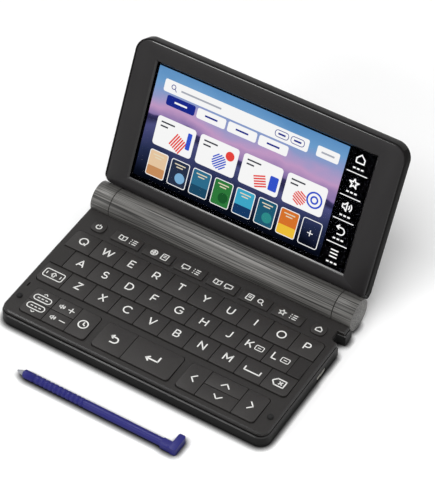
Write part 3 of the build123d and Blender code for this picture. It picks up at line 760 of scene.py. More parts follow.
def stroke_mark(name: str, strokes: Sequence[Stroke], width: float, rise: float = INK) -> Piece:
    """Lines of even width, as a thin printed layer.

    Args:
        name: The piece's name.
        strokes: Polylines in millimetres.
        width: Line width in millimetres.
        rise: Thickness of the layer in millimetres.

    Returns:
        The flat mesh, lying on the plane of x and y.
    """
    points: Stroke = []
    faces: list[tuple[int, ...]] = []
    for stroke in strokes:
        runs = smooth_runs(stroke, width)
        closed = len(runs) == 1 and math.dist(stroke[0], stroke[-1]) < SAME
        for run in runs:
            outline, pieces = ribbon(run[:-1] if closed else run, width, closed)
            faces += [tuple(i + len(points) for i in piece) for piece in pieces]
            points += outline
    return plated(name, points, faces, rise)


def filled_mark(name: str, outline: Stroke, rise: float = INK) -> Piece:
    """A filled flat shape with a closed outline in millimetres."""
    points = outline[:-1] if math.dist(outline[0], outline[-1]) < SAME else outline
    return plated(name, points, [tuple(range(len(points)))], rise)


LETTERS = {
    "A": "0,0 0.44,1 0.88,0 | 0.16,0.29 0.72,0.29",
    "B": "0,0 0,1 0.38,1 @0.38,0.76,0.24,80,-80,8 0.38,0.52 0,0.52 | 0.38,0.52 @0.42,0.26,0.26,80,-80,8 0.42,0 0,0",
    "C": "@0.52,0.5,0.52,42,318,22",
    "D": "0,0 0,1 0.34,1 @0.34,0.5,0.5,82,-82,14 0.34,0 0,0",
    "E": "0.64,1 0,1 0,0 0.66,0 | 0,0.51 0.56,0.51",
    "F": "0.64,1 0,1 0,0 | 0,0.47 0.56,0.47",
    "G": "@0.52,0.5,0.52,42,330,22 | 0.97,0.24 0.97,0.5 0.56,0.5",
    "H": "0,0 0,1 | 0.78,0 0.78,1 | 0,0.51 0.78,0.51",
    "I": "0,0 0,1",
    "J": "0.5,1 @0.23,0.28,0.27,0,-140,10",
    "K": "0,0 0,1 | 0.7,1 0.03,0.33 | 0.26,0.58 0.74,0",
    "L": "0,1 0,0 0.62,0",
    "M": "0,0 0,1 0.46,0.32 0.92,1 0.92,0",
    "N": "0,0 0,1 0.78,0 0.78,1",
    "O": "@0.52,0.5,0.52,0,360,28",
    "P": "0,0 0,1 0.38,1 @0.38,0.7,0.3,80,-80,8 0.38,0.4 0,0.4",
    "Q": "@0.52,0.5,0.52,0,360,28 | 0.62,0.3 1,-0.06",
    "R": "0,0 0,1 0.38,1 @0.38,0.7,0.3,80,-80,8 0.38,0.4 0,0.4 | 0.36,0.4 0.7,0",
    "S": "@0.34,0.745,0.255,28,262,12,1.2 @0.34,0.26,0.26,82,-152,12,1.25",
    "T": "0,1 0.78,1 | 0.39,1 0.39,0",
    "U": "0,1 @0.37,0.37,0.37,180,360,14 0.74,1",
    "V": "0,1 0.44,0 0.88,1",
    "W": "0,1 0.32,0 0.66,0.96 1,0 1.32,1",
    "X": "0,0 0.74,1 | 0,1 0.74,0",
    "Y": "0,1 0.4,0.44 0.8,1 | 0.4,0.44 0.4,0",
    "Z": "0.03,1 0.7,1 0,0 0.72,0",
}


def letter_mark(name: str, letter: str, height: float, width: float, at: Point = (0.0, 0.0)) -> Piece:
    """A printed capital.

    Args:
        name: The piece's name.
        letter: The capital.
        height: Its height over all, in millimetres.
        width: Line width in millimetres.
        at: Its centre in millimetres.

    Returns:
        The flat mesh.
    """
    strokes = drawn(LETTERS[letter])
    middle = max(x for stroke in strokes for x, _ in stroke) / 2
    return stroke_mark(name, moved(strokes, height - width, at, (middle, 0.5)), width)


class Icon(Enum):
    """Generic symbols, drawn about the origin within about one unit."""

    POWER = "@0,-0.08,0.8,120,420 | 0,0.15 0,1"
    HOME = "-0.85,-0.7 -0.85,0.15 0,0.95 0.85,0.15 0.85,-0.7 -0.85,-0.7"
    LEFT = "0.45,0.9 -0.45,0 0.45,-0.9"
    RIGHT = "-0.45,0.9 0.45,0 -0.45,-0.9"
    UP = "0.9,-0.45 0,0.45 -0.9,-0.45"
    DOWN = "0.9,0.45 0,-0.45 -0.9,0.45"
    RETURN = "1.1,0.75 1.1,-0.35 -0.9,-0.35 | -0.4,0.15 -1,-0.35 -0.4,-0.85"
    BACK = "@0.15,-0.15,0.7,-90,90 -0.8,0.55 | -0.35,1 -0.9,0.55 -0.35,0.1 | 0.15,-0.85 -0.6,-0.85"
    CLOCK = "@0,0,0.95,0,360,24 | 0,0.6 0,0 0.45,-0.25"
    ERASE = "-1.3,0 -0.6,0.8 1.2,0.8 1.2,-0.8 -0.6,-0.8 -1.3,0 | 0,0.35 0.7,-0.35 | 0,-0.35 0.7,0.35"
    SPACE = "-1.4,0.3 -1.4,-0.5 1.4,-0.5 1.4,0.3"
    SHIFT = "0,0.85 -0.8,0 -0.35,0 -0.35,-0.8 0.35,-0.8 0.35,0 0.8,0 0,0.85"
    BOOK = "0,0.55 -1,0.8 -1,-0.6 0,-0.8 1,-0.6 1,0.8 0,0.55 | 0,0.55 0,-0.8"
    GLOBE = "@0,0,0.9,0,360 | -0.9,0 0.9,0 | @-0.9,0,1.1,-48,48 | @0.9,0,1.1,132,228"
    SPEECH = "-1,-0.45 -1,0.75 1,0.75 1,-0.45 0.1,-0.45 -0.45,-0.95 -0.45,-0.45 -1,-0.45"
    LENS = "@-0.2,0.2,0.65,0,360 | 0.28,-0.28 0.95,-0.95"
    STAR = " ".join(f"{math.sin(math.radians(turn % 360)) * reach},{math.cos(math.radians(turn % 360)) * reach}"
                    for turn, reach in zip(range(0, 361, 36), (1.0, 0.42) * 5 + (1.0,)))
    LIST = "-0.9,0.7 -0.6,0.7 | -0.2,0.7 1,0.7 | -0.9,0 -0.6,0 | -0.2,0 1,0 | -0.9,-0.7 -0.6,-0.7 | -0.2,-0.7 1,-0.7"
    SOUND = ("-1,-0.35 -1,0.35 -0.6,0.35 -0.1,0.85 -0.1,-0.85 -0.6,-0.35 -1,-0.35"
             " | @-0.1,0,0.55,-45,45,6 | @-0.1,0,1,-45,45,8")
    NOTE = "-0.8,-1 -0.8,1 0.8,1 0.8,-1 -0.8,-1 | -0.4,0.4 0.4,0.4 | -0.4,-0.1 0.4,-0.1"
    MENU = "-0.8,0.7 0.8,0.7 | -0.8,0 0.8,0 | -0.8,-0.7 0.8,-0.7"
    CARD = "#0,0,2.6,1.8,0.35 | -0.6,0 0.6,0"


def icon_mark(name: str, icon: Icon, half: float, width: float, at: Point = (0.0, 0.0), rise: float = INK) -> Piece:
    """A generic symbol as a flat mesh.

    Args:
        name: The piece's name.
        icon: Which symbol.
        half: Half its size in millimetres.
        width: Line width in millimetres.
        at: Its centre in millimetres.
        rise: Thickness of the layer in millimetres.

    Returns:
        The flat mesh.
    """
    return stroke_mark(name, moved(drawn(icon.value), half, at), width, rise)


# ---- sub-assemblies ----
@dataclass
class Case:
    """Lower case, deck, feet and what shows through their openings."""

    edge: float = 0.5
    rim: float = 2.6
    notch_end: float = 26.1
    notch_start: float = 69.0
    cross_length: float = 2.2
    cross_width: float = 0.45
    cross_depth: float = 0.5
    dome: float = 0.9

    def build(self) -> None:
        """Make and dress the case."""
        lower, deck = refined("lower_case", 0.0), refined("upper_case", 0.0)
        self.bevel(lower, self.outer_rim(lower) + self.notch_lip(lower), self.edge, 1)
        self.bevel(deck, self.notch_lip(deck), self.edge, 1)
        smooth(deck)
        dress(lower, CASE_PLASTIC)
        dress(deck, DECK_PLASTIC)
        low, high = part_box("upper_case")
        wide, front = high.x - self.rim * MM, low.y + self.rim * MM
        for piece in (lower, deck):
            polish(piece, EDGE_PLASTIC, lambda face: slanted(face.normal.z)
                   and (abs(face.center.x) > wide or face.center.y < front))
            polish(piece, LIP_PLASTIC, lambda face: slanted(face.normal.z) and face.normal.y < -0.5
                   and face.center.x > self.notch_start * MM and face.center.y > (self.notch_end - 1) * MM)
        dress_nodes(key_membrane=MEMBRANE_RUBBER, main_board=BOARD, speaker=SOCKET_PLASTIC,
                    usb_socket=TINNED_SHELL, headphone_jack=SOCKET_PLASTIC)
        self.pads()
        self.screws()

    def outer_rim(self, lower: Piece) -> list[int]:
        """Edges along the top of the tray's outer wall, found by the wall's outward faces.

        Args:
            lower: The tray.

        Returns:
            The edges, by index.
        """
        mesh = lower.data
        wide = max(v.co.x for v in mesh.vertices)
        top = max(v.co.z for v in mesh.vertices if v.co.x > wide - NEAR)
        walls = {key for face in mesh.polygons for key in face.edge_keys
                 if abs(face.normal.z) < 0.1 and face.normal.xy.dot(face.center.xy) > 0}
        return [edge.index for edge in mesh.edges if tuple(sorted(edge.vertices)) in walls
                and all(abs(mesh.vertices[i].co.z - top) < NEAR for i in edge.vertices)]

    def notch_lip(self, piece: Piece) -> list[int]:
        """Top edges of the wall that closes the side notch, facing the front.

        Args:
            piece: The tray or the deck.

        Returns:
            The edges, by index.
        """
        spots = {v.index: v.co.z for v in piece.data.vertices
                 if abs(v.co.y - self.notch_end * MM) < NEAR and v.co.x > self.notch_start * MM}
        top = max(spots.values())
        return [edge.index for edge in piece.data.edges if all(spots.get(i, 0.0) > top - NEAR for i in edge.vertices)]

    def pads(self) -> None:
        """Rubber feet with eased edges, and the two bumpers turned into low domes."""
        pads = refined("rubber_pads", 0.0)
        mesh = pads.data
        top = max(v.co.z for v in mesh.vertices)
        rims = [edge.index for edge in mesh.edges if all(mesh.vertices[i].co.z > top - NEAR for i in edge.vertices)]
        self.bevel(pads, rims, self.dome, 4)
        smooth(pads)
        dress(pads, FOOT_RUBBER)

    def bevel(self, piece: Piece, edges: Iterable[int], width: float, steps: int) -> None:
        """Round the chosen edges of a piece.

        Args:
            piece: The mesh.
            edges: The edges to round, by index.
            width: Rounding in millimetres.
            steps: Segments across it.
        """
        in_edit(piece, (bpy.ops.mesh.select_all, {"action": "DESELECT"}))
        mesh = piece.data
        for index in edges:
            mesh.edges[index].select = True
            for corner in mesh.edges[index].vertices:
                mesh.vertices[corner].select = True
        activate(piece)
        bpy.ops.object.mode_set(mode="EDIT")
        bpy.ops.mesh.bevel(offset=width * MM, segments=steps, affect="EDGES")
        bpy.ops.object.mode_set(mode="OBJECT")

    def screws(self) -> None:
        """Screw heads with a cross recess cut into each."""
        screws = refined("case_screws", 0.0)
        low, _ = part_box("case_screws")
        points = [v.co.copy() for v in screws.data.vertices if v.co.z < low.z + NEAR]
        long, thin, deep = self.cross_length / 2 * MM, self.cross_width / 2 * MM, self.cross_depth * MM
        bars = []
        for side, front in ((-1, True), (-1, False), (1, True), (1, False)):
            here = [p for p in points if p.x * side > 0 and (p.y < 0) == front]
            centre = sum(here, Vector()) / len(here)
            for half in (Vector((long, thin, deep)), Vector((thin, long, deep))):
                bars.append(box_piece("cutter", centre - half, centre + half))
        cutter = joined(bars, "cutter")
        modify(screws, "BOOLEAN", object=cutter, operation="DIFFERENCE", solver="EXACT", use_self=True)
        bpy.data.objects.remove(cutter)
        smooth(screws)
        dress(screws, BLACK_STEEL)


@dataclass
class Keyboard:
    """Keycaps with their printed legends."""

    edge: float = 0.16
    letter_height: float = 4.7
    letter_line: float = 0.66
    letter_lift: float = 0.4
    letter_shift: float = 2.7
    fine_line: float = 0.42
    frame_line: float = 0.5
    rocker_reach: float = 1.2
    wide_keys: int = 6
    wide_key_gap: float = 1.1
    symbol_half: float = 1.9
    symbol_offset: float = 3.0

    def build(self) -> None:
        """Make every keycap and its legend."""
        nodes = [n for n in frame["nodes"] if n.startswith("key_") and n != "key_membrane"]
        nodes += [n for n in frame["nodes"] if n.endswith("_rocker")] + ["function_keys"]
        for node in nodes:
            marks = self.legend(node)
            if marks:
                self.print_on(node, marks)
            dress(refined(node, self.edge, 2, 10.0), KEY_PLASTIC)
        self.function_legends()

    def legend(self, node: str) -> list[Piece]:
        """Flat marks of a key, drawn about its centre.

        Args:
            node: The key's CAD node.

        Returns:
            Its marks, not yet placed.
        """
        key = node.removeprefix("key_")
        tag, fine, aside = f"legend_{key}", self.fine_line, self.letter_shift
        if len(key) == 1:
            shift = -aside if key in "kl" else 0.0
            marks = [letter_mark(tag, key.upper(), self.letter_height, self.letter_line, (shift, self.letter_lift))]
            if shift:
                marks.append(icon_mark(tag, Icon.CARD, 1.6, fine, (aside, 0.2)))
            return marks
        symbols = {
            "power": [(Icon.POWER, 1.75, 0.55)], "home": [(Icon.HOME, 1.75, 0.55)], "left": [(Icon.LEFT, 2.5, 0.62)],
            "right": [(Icon.RIGHT, 2.5, 0.62)], "enter": [(Icon.RETURN, 3.0, 0.8)], "back": [(Icon.BACK, 2.5, 0.75)],
            "history": [(Icon.CLOCK, 2.5, 0.65)], "delete": [(Icon.ERASE, 2.6, 0.65)],
            "space": [(Icon.SPACE, 2.9, 0.7)], "shift": [(Icon.SHIFT, 1.7, 0.5)],
            "up_down_rocker": [(Icon.UP, 2.5, 0.62, (0, 4.0)), (Icon.DOWN, 2.5, 0.62, (0, -4.0))],
            "volume_rocker": [(Icon.SOUND, 1.4, fine, (-2.4, 4.0)), (Icon.SOUND, 1.4, fine, (-2.4, -4.0))],
            "dictionary_rocker": [(Icon.UP, 1.1, fine, (0, 6.1)), (Icon.DOWN, 1.1, fine, (0, -6.1))],
        }
        frames = {
            "shift": "#0,0,10.6,5.2,1.1 | -3.8,-0.9 -3.8,0.9 | 3.8,-0.9 3.8,0.9",
            "volume_rocker": "1,4 4.4,4 | 2.7,2.3 2.7,5.7 | 1,-4 4.4,-4",
            "dictionary_rocker": "#0,2.9,9.4,3.4,1.6 | #0,-2.9,9.4,3.4,1.6 | -2.9,2.9 -1.5,2.9 | -0.7,2.9 0.7,2.9"
                                 " | 1.5,2.9 2.9,2.9 | -2.9,-2.9 -1.5,-2.9 | -0.7,-2.9 0.7,-2.9 | 1.5,-2.9 2.9,-2.9",
        }
        marks = [icon_mark(tag, *symbol) for symbol in symbols.get(key, [])]
        if key in frames:
            marks.append(stroke_mark(tag, drawn(frames[key]), self.frame_line))
        return marks

    def print_on(self, node: str, marks: list[Piece], centre: Point | None = None) -> None:
        """Lay marks on a key's sloping top and let them ride with it.

        Args:
            node: The key's CAD node.
            marks: Flat marks about the origin.
            centre: Where they go in metres; the middle of the key if left out.
        """
        low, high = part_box(node)
        x, y = centre or ((low.x + high.x) / 2, (low.y + high.y) / 2)
        mesh = frame["nodes"][node].data
        tree = BVHTree.FromPolygons([v.co for v in mesh.vertices], [p.vertices for p in mesh.polygons])
        aside = self.rocker_reach * MM if node.endswith("rocker") else 0.0
        spot, normal, _, _ = tree.ray_cast(Vector((x, y + aside, high.z + 10 * MM)), Vector((0, 0, -1)))
        slope = Vector((0, 0, 1)).rotation_difference(normal).to_matrix().to_4x4()
        if aside:
            spot = spot - Vector((0, aside, aside * -normal.y / normal.z))
        name = f"legend_{node.removeprefix('key_')}" if centre is None else f"legend_function_{int(x / MM)}"
        piece = joined(marks, name.replace("-", "m"))
        place(piece, Matrix.Translation(spot) @ slope)
        dress(piece, LEGEND_INK)
        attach(piece, frame["nodes"][node]["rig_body"])

    def function_legends(self) -> None:
        """Pairs of small symbols on the six wide keys."""
        low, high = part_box("function_keys")
        pairs = [(Icon.BOOK, Icon.LIST), (Icon.GLOBE, Icon.NOTE), (Icon.SPEECH, Icon.LIST),
                 (Icon.BOOK, Icon.SPEECH), (Icon.NOTE, Icon.LENS), (Icon.STAR, Icon.LIST)]
        pitch = (high.x - low.x + self.wide_key_gap * MM) / self.wide_keys
        for index, icons in enumerate(pairs):
            x = low.x + pitch * (index + 0.5) - self.wide_key_gap / 2 * MM
            marks = [icon_mark("legend", icon, self.symbol_half, self.frame_line, (side * self.symbol_offset, 0.0))
                     for icon, side in zip(icons, (-1, 1))]
            self.print_on("function_keys", marks, (x, (low.y + high.y) / 2))


@dataclass
class Barrel:
    """Hinge barrel, its end sections, the battery door and what they hold."""

    edge: float = 0.08
    end_edge: float = 0.1

    def build(self) -> None:
        """Make and dress the barrel."""
        dress(refined("hinge_barrel", self.edge), BARREL_PAINT)
        dress(refined("hinge_ends", self.end_edge), BARREL_PAINT)
        dress(refined("battery_door", self.edge), DOOR_PAINT)
        dress_nodes(battery_cells=CELL_SLEEVE, battery_contacts=PLATED_STEEL, hinge_axles=AXLE_STEEL)


@dataclass
class Lid:
    """Lid cover, bezel, touch glass and the lit display behind it."""

    glass_margin: float = 1.6
    glass_gap: float = 0.3
    glass_edge: float = 0.1
    strip_width: float = 14.5
    cover_edge: float = 0.3
    bezel_edge: float = 0.08
    side_lean: float = 0.7
    chamfer_area: float = 1e-5

    def __post_init__(self) -> None:
        """Find the opened lid's own directions from its hinge."""
        hinge = next(j for j in frame["joints"] if j["name"] == "lid_hinge")
        opened = math.radians(-hinge["range_deg"][0])
        self.axis = Vector(hinge["pos_m"])
        self.along = Vector((0, -math.cos(opened), math.sin(opened)))
        self.inward = Vector((0, math.sin(opened), math.cos(opened)))
        spots = [v.co - self.axis for v in frame["nodes"]["touch_glass"].data.vertices]
        self.front = min(s.dot(self.inward) for s in spots)
        self.rear = max(s.dot(self.inward) for s in spots)
        margin = self.glass_margin * MM
        self.left, self.right = min(s.x for s in spots) + margin, max(s.x for s in spots) - margin
        self.low = min(s.dot(self.along) for s in spots) + margin
        self.high = max(s.dot(self.along) for s in spots) - margin

    def onto(self, depth: float) -> Matrix:
        """Matrix from a flat drawing (x right, y up the lid) to a depth behind the lid's axis, in metres."""
        face = Matrix((Vector((1, 0, 0)), self.along, -self.inward)).transposed().to_4x4()
        return Matrix.Translation(self.axis + self.inward * depth) @ face

    def build(self) -> None:
        """Make and dress the lid."""
        cover, bezel = refined("lid_cover", self.cover_edge, 3), refined("lid_bezel", self.bezel_edge)
        dress(cover, LID_PLASTIC)
        # Painted shade: the cover's two sides get a darker, almost unreflecting copy of its finish.
        polish(cover, LID_SIDE_SHADED_PLASTIC, lambda face: abs(face.normal.x) > self.side_lean)
        dress(bezel, BEZEL_PLASTIC)
        polish(bezel, CHAMFER_PLASTIC, lambda face: slanted(face.normal.dot(-self.inward))
               and face.area > self.chamfer_area)
        dress_nodes(display_panel=PANEL_BLACK)
        self.glass()
        Display(self).build()

    def glass(self) -> None:
        """Glass sheet, a little thinner than its seat, so that air stays before the display."""
        margin = self.glass_margin * MM
        thick = self.rear - self.front - self.glass_gap * MM
        sheet = box_piece("touch_glass_sheet", Vector((self.left - margin, self.low - margin, -thick)),
                          Vector((self.right + margin, self.high + margin, 0)))
        modify(sheet, "BEVEL", width=self.glass_edge * MM, segments=2)
        place(sheet, self.onto(self.front))
        dress(sheet, TOUCH_GLASS)
        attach(sheet, "lid")
        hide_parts("touch_glass")


def stripes(cx: float, cy: float, reach: float, count: int, angle: float, disc: bool) -> list[Stroke]:
    """Parallel lines that fill a disc or a square.

    Args:
        cx: Middle across.
        cy: Middle up.
        reach: Half its size.
        count: Lines.
        angle: Their direction in degrees.
        disc: Whether they fill a disc.

    Returns:
        The lines.
    """
    along = Vector((math.cos(math.radians(angle)), math.sin(math.radians(angle))))
    across = Vector((-along.y, along.x))
    lines = []
    for index in range(count):
        off = reach * (2 * (index + 0.5) / count - 1)
        half = math.sqrt(reach ** 2 - off ** 2) if disc else reach
        start, end = across * off - along * half, across * off + along * half
        lines.append([(cx + start.x, cy + start.y), (cx + end.x, cy + end.y)])
    return lines


@dataclass
class Display:
    """What the display shows: plain panels, cards, tiles and symbols of no maker, on a dusk backdrop."""

    lid: Lid
    rise: float = 0.004
    first_gap: float = 0.01
    layer_gap: float = 0.05
    border: float = 1.2
    foot: float = 2.2
    bar_drop: float = 9.4
    pill_pitch: float = 8.6
    tab_drop: float = 16.2
    tab_start: float = 17.0
    tab_pitch: float = 17.2
    card_y: float = 28.6
    card_start: float = 17.8
    card_pitch: float = 24.3
    tile_y: float = 11.6
    tile_start: float = 12.4
    tile_pitch: float = 12.3
    tile_tints: tuple[str, ...] = ("e9c9a4", "27324a", "2e6e8e", "2f7a3c", "3fa9c9", "1f5a74", "d9742c")
    band_tints: tuple[str, ...] = ("c98f5e", "7fb2d8", "1d4a66", "1d5a2c", "163a66", "2f8c8a", "f0c23a")

    def build(self) -> None:
        """Make every lit layer, back to front."""
        self.width = (self.lid.right - self.lid.left) / MM - self.lid.strip_width
        self.height = (self.lid.high - self.lid.low) / MM
        self.white = LitColour("display_white", "fbfbfb")
        self.backdrop()
        self.bars()
        self.cards()
        self.tiles()
        self.strip()

    def lay(self, layer: int, name: str, finish: Finish, *marks: Piece) -> None:
        """Join marks of one colour and lay them behind the glass.

        Args:
            layer: How many layers they stand before the panel.
            name: The piece's name.
            finish: Its colour.
            marks: Flat marks, in millimetres from the display's lower left corner.
        """
        lid, piece = self.lid, joined(marks, name)
        depth = lid.rear - (self.first_gap + self.layer_gap * layer) * MM
        place(piece, lid.onto(depth) @ Matrix.Translation((lid.left, lid.low, 0.0)))
        dress(piece, finish)
        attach(piece, "lid")

    def panel(self, cx: float, cy: float, width: float, height: float, corner: float) -> Piece:
        """A filled panel with round corners."""
        return filled_mark("panel", rounded_box(cx, cy, width, height, corner), self.rise)

    def disc(self, cx: float, cy: float, radius: float) -> Piece:
        """A filled disc."""
        return filled_mark("disc", arc(cx, cy, radius, 0, 360, 28), self.rise)

    def lines(self, strokes: Sequence[Stroke], width: float) -> Piece:
        """Lines of one width."""
        return stroke_mark("lines", strokes, width, self.rise)

    def backdrop(self) -> None:
        """The picture behind the panels."""
        low, high = (self.border, self.foot), (self.width, self.height - self.border)
        sheet = filled_mark("display_backdrop", [low, (high[0], low[1]), high, (low[0], high[1])], self.rise)
        layer = sheet.data.uv_layers.new(name="UVMap")
        for loop in sheet.data.loops:
            co = sheet.data.vertices[loop.vertex_index].co
            layer.data[loop.index].uv = (co.x / MM / self.width, co.y / MM / self.height)
        self.lay(0, "display_backdrop", DuskPicture("display_dusk_backdrop", "5b8fc2"), sheet)

    def bars(self) -> None:
        """Search line with its small buttons, and the tabs below it."""
        w, bar_y, tab_y = self.width, self.height - self.bar_drop, self.height - self.tab_drop
        xs = [self.tab_start + index * self.tab_pitch for index in range(4)]
        tab = (tab_y, 16.0, 5.2, 1.0)
        pills = [w - 34.5 + self.pill_pitch * index for index in range(2)]
        words = [level(x - 3.5, x + 3.5, tab_y) for x in xs]
        self.lay(1, "display_bars", self.white, self.panel(w / 2 - 7, bar_y, w - 26, 6.4, 1.0),
                 self.panel(w - 9.5, bar_y, 12, 5.4, 0.9), *(self.panel(x, *tab) for x in xs[1:]))
        hints = [level(15.5, 38.0, bar_y - 0.2), level(w - 13.0, w - 6.0, bar_y)]
        self.lay(2, "display_bar_hints", LitColour("display_hint_grey", "a9adb8"), self.lines(hints, 0.9))
        self.lay(2, "display_navy_marks", LitColour("display_navy", "1a2a8c"), self.panel(xs[0], *tab),
                 icon_mark("m", Icon.LENS, 1.7, 0.4, (11.5, bar_y), self.rise),
                 self.lines([rounded_box(x, bar_y, 7.2, 3.4, 1.4) for x in pills], 0.35),
                 self.lines([level(x - 2.0, x + 2.0, bar_y) for x in pills] + words[1:], 0.9))
        self.lay(3, "display_tab_mark", self.white, self.lines(words[:1], 0.9))

    def cards(self) -> None:
        """Four white cards, each with two lines and a striped red and blue motif."""
        y = self.card_y
        xs = [self.card_start + index * self.card_pitch for index in range(4)]
        self.lay(1, "display_cards", self.white, *(self.panel(x, y, 21.8, 15.2, 1.6) for x in xs))
        rows = [level(x - 8.6, x - 1.0, y + 5.0) for x in xs] + [level(x - 8.6, x - 4.4, y + 2.9) for x in xs]
        self.lay(2, "display_card_lines", LitColour("display_ink_grey", "3a3d46"), self.lines(rows, 0.8))
        a, b, c, d = xs
        self.lay(2, "display_red_marks", LitColour("display_red", "e8453f"),
                 self.lines(stripes(a + 2.6, y - 2.6, 3.7, 6, 62, False), 0.75), self.disc(b + 6.6, y + 2.4, 2.4),
                 self.lines(stripes(c + 0.4, y - 3.0, 3.2, 5, 20, False), 0.75),
                 self.lines(stripes(d - 2.2, y - 2.6, 3.5, 6, -30, True), 0.7))
        rings = [arc(d + 5.4, y - 0.6, 3.8, 0, 360, 28), arc(d + 5.4, y - 0.6, 1.7, 0, 360, 20)]
        self.lay(2, "display_blue_marks", LitColour("display_blue", "3453cc"),
                 self.panel(a + 8.0, y + 0.6, 2.4, 8.6, 0.5),
                 self.lines(stripes(b + 1.6, y - 2.4, 3.9, 7, 40, True), 0.65),
                 self.panel(c + 7.4, y - 1.6, 4.6, 7.4, 0.6), self.lines(rings, 0.9))

    def tiles(self) -> None:
        """Seven coloured tiles and an open one with a plus."""
        y = self.tile_y
        *xs, last = [self.tile_start + index * self.tile_pitch for index in range(len(self.tile_tints) + 1)]
        self.lay(1, "display_tile_edges", self.white, *(self.panel(x, y, 10.4, 13.6, 1.1) for x in xs))
        for index, (x, tint, band) in enumerate(zip(xs, self.tile_tints, self.band_tints)):
            tile = self.panel(x, y, 9.6, 12.8, 0.8)
            self.lay(2, f"display_tile_{index}", LitColour(f"display_tint_{index}", tint), tile)
            shape = self.disc(x + 1.2, y - 2.0, 2.7) if index % 2 else self.panel(x, y - 3.9, 9.6, 4.8, 0.7)
            self.lay(3, f"display_band_{index}", LitColour(f"display_band_tint_{index}", band), shape)
        rows = [level(x - 3.0, x + 3.0, y + 4.6) for x in xs] + [level(x - 1.8, x + 1.8, y + 3.2) for x in xs]
        self.lay(4, "display_tile_lines", LitColour("display_pale_gold", "e6dcc0"), self.lines(rows, 0.55))
        plus = [level(last - 1.5, last + 1.5, y), [(last, y - 1.5), (last, y + 1.5)]]
        self.lay(2, "display_open_tile", self.white, self.lines([rounded_box(last, y, 10.2, 13.4, 1.1)], 0.4),
                 self.lines(plus, 0.45))

    def strip(self) -> None:
        """Touch symbols on the black strip at the display's right-hand side."""
        x0, x1, step = self.width, self.width + self.lid.strip_width, self.height / 5
        middle = (x0 + x1) / 2 - 0.4
        icons = (Icon.HOME, Icon.STAR, Icon.SOUND, Icon.BACK, Icon.MENU)
        marks = [icon_mark("m", icon, 2.5, 0.62, (middle, self.height - step * (index + 0.42)), self.rise)
                 for index, icon in enumerate(icons)]
        under = [level(middle + x - 0.7, middle + x + 0.7, self.height - step * (index + 0.8))
                 for index in range(5) for x in (-2.1, 0.0, 2.1)]
        rules = [level(x0 + 1.4, x1 - 2.2, step * index) for index in range(1, 5)]
        self.lay(2, "display_touch_symbols", LitColour("display_symbol_white", "ffffff", 1.0), *marks,
                 self.lines(under, 0.8), self.lines(rules, 0.45))


@dataclass
class Stylus:
    """Stylus: turned shaft with its grooved grip, grey nib, and the hooked head."""

    radius: float = 2.1
    nib_length: float = 3.4
    nib_root: float = 1.45
    nib_tip: float = 0.5
    collar_from_head: float = 8.2
    hook_reach: float = 2.6
    grip_from_tip: float = 12.9
    grip_pitch: float = 2.45
    grip_count: int = 11
    groove_width: float = 0.8
    groove_depth: float = 0.28
    ring_from_tip: float = 9.9
    ring_depth: float = 0.5
    head_easing: float = 0.2
    overlap: float = 0.5

    def build(self) -> None:
        """Make and dress the stylus."""
        low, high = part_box("stylus")
        self.centre = Vector((0.0, low.y + self.hook_reach * MM, low.z + self.radius * MM))
        self.tip = low.x / MM
        self.neck = high.x / MM - self.collar_from_head
        body = joined([self.shaft(), self.head()], "stylus_body")
        smooth(body)
        dress(body, STYLUS_BLUE)
        for piece in (body, self.nib()):
            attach(piece, "stylus")
        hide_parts("stylus")

    def turned(self, name: str, stations: Sequence[Point]) -> Piece:
        """A round bar along x, drawn out ring by ring.

        Args:
            name: The piece's name.
            stations: For each ring, its place along x and its radius, in millimetres.

        Returns:
            The closed bar.
        """
        deselect()
        x0, r0 = stations[0]
        bpy.ops.mesh.primitive_circle_add(vertices=32, radius=r0 * MM, fill_type="NGON", rotation=(0, math.pi / 2, 0),
                                          location=(x0 * MM, self.centre.y, self.centre.z))
        bpy.ops.object.transform_apply()
        piece = bpy.context.object
        piece.name = name
        bpy.ops.object.mode_set(mode="EDIT")
        bpy.ops.mesh.select_all(action="SELECT")
        for (before, old), (x, radius) in zip(stations, stations[1:]):
            bpy.ops.mesh.extrude_region_move(TRANSFORM_OT_translate={"value": ((x - before) * MM, 0, 0)})
            share = radius / old
            bpy.ops.transform.resize(value=(1, share, share),
                                     center_override=(x * MM, self.centre.y, self.centre.z))
        bpy.ops.mesh.select_all(action="SELECT")
        bpy.ops.mesh.normals_make_consistent()
        bpy.ops.object.mode_set(mode="OBJECT")
        return piece

    def shaft(self) -> Piece:
        """The blue shaft with one ring and the row of grip grooves.

        Returns:
            The shaft.
        """
        full, start = self.radius, self.tip + self.nib_length
        stations = [(start, self.nib_root), (start + 0.7, full)]
        ring = self.tip + self.ring_from_tip
        cuts = [ring] + [self.tip + self.grip_from_tip + self.grip_pitch * i for i in range(self.grip_count)]
        for x in cuts:
            half, deep = self.groove_width / 2, full - (self.ring_depth if x == ring else self.groove_depth)
            stations += [(x - half, full), (x - half / 2, deep), (x + half / 2, deep), (x + half, full)]
        return self.turned("stylus_shaft", stations + [(self.neck + self.overlap, full)])

    def nib(self) -> Piece:
        """The grey acetal point, rounded at its end.

        Returns:
            The nib, dressed.
        """
        seat, root = self.tip + self.nib_length, self.nib_root - 0.1
        nib = self.turned("stylus_nib", [(self.tip, self.nib_tip * 0.6), (self.tip + 0.2, self.nib_tip),
                                         (seat - 0.1, root), (seat + 0.3, root)])
        smooth(nib)
        dress(nib, NIB_GREY)
        return nib

    def head(self) -> Piece:
        """Collar and hook, cut from the solid stylus and eased at every edge.

        Returns:
            The head.
        """
        head = clean_copy("stylus", "stylus_head")
        cut = {"plane_co": (self.neck * MM, 0, 0), "plane_no": (1, 0, 0), "clear_inner": True, "use_fill": True}
        in_edit(head, (bpy.ops.mesh.bisect, cut))
        modify(head, "BEVEL", width=self.head_easing * MM, segments=2, limit_method="ANGLE",
               angle_limit=math.radians(25))
        return head


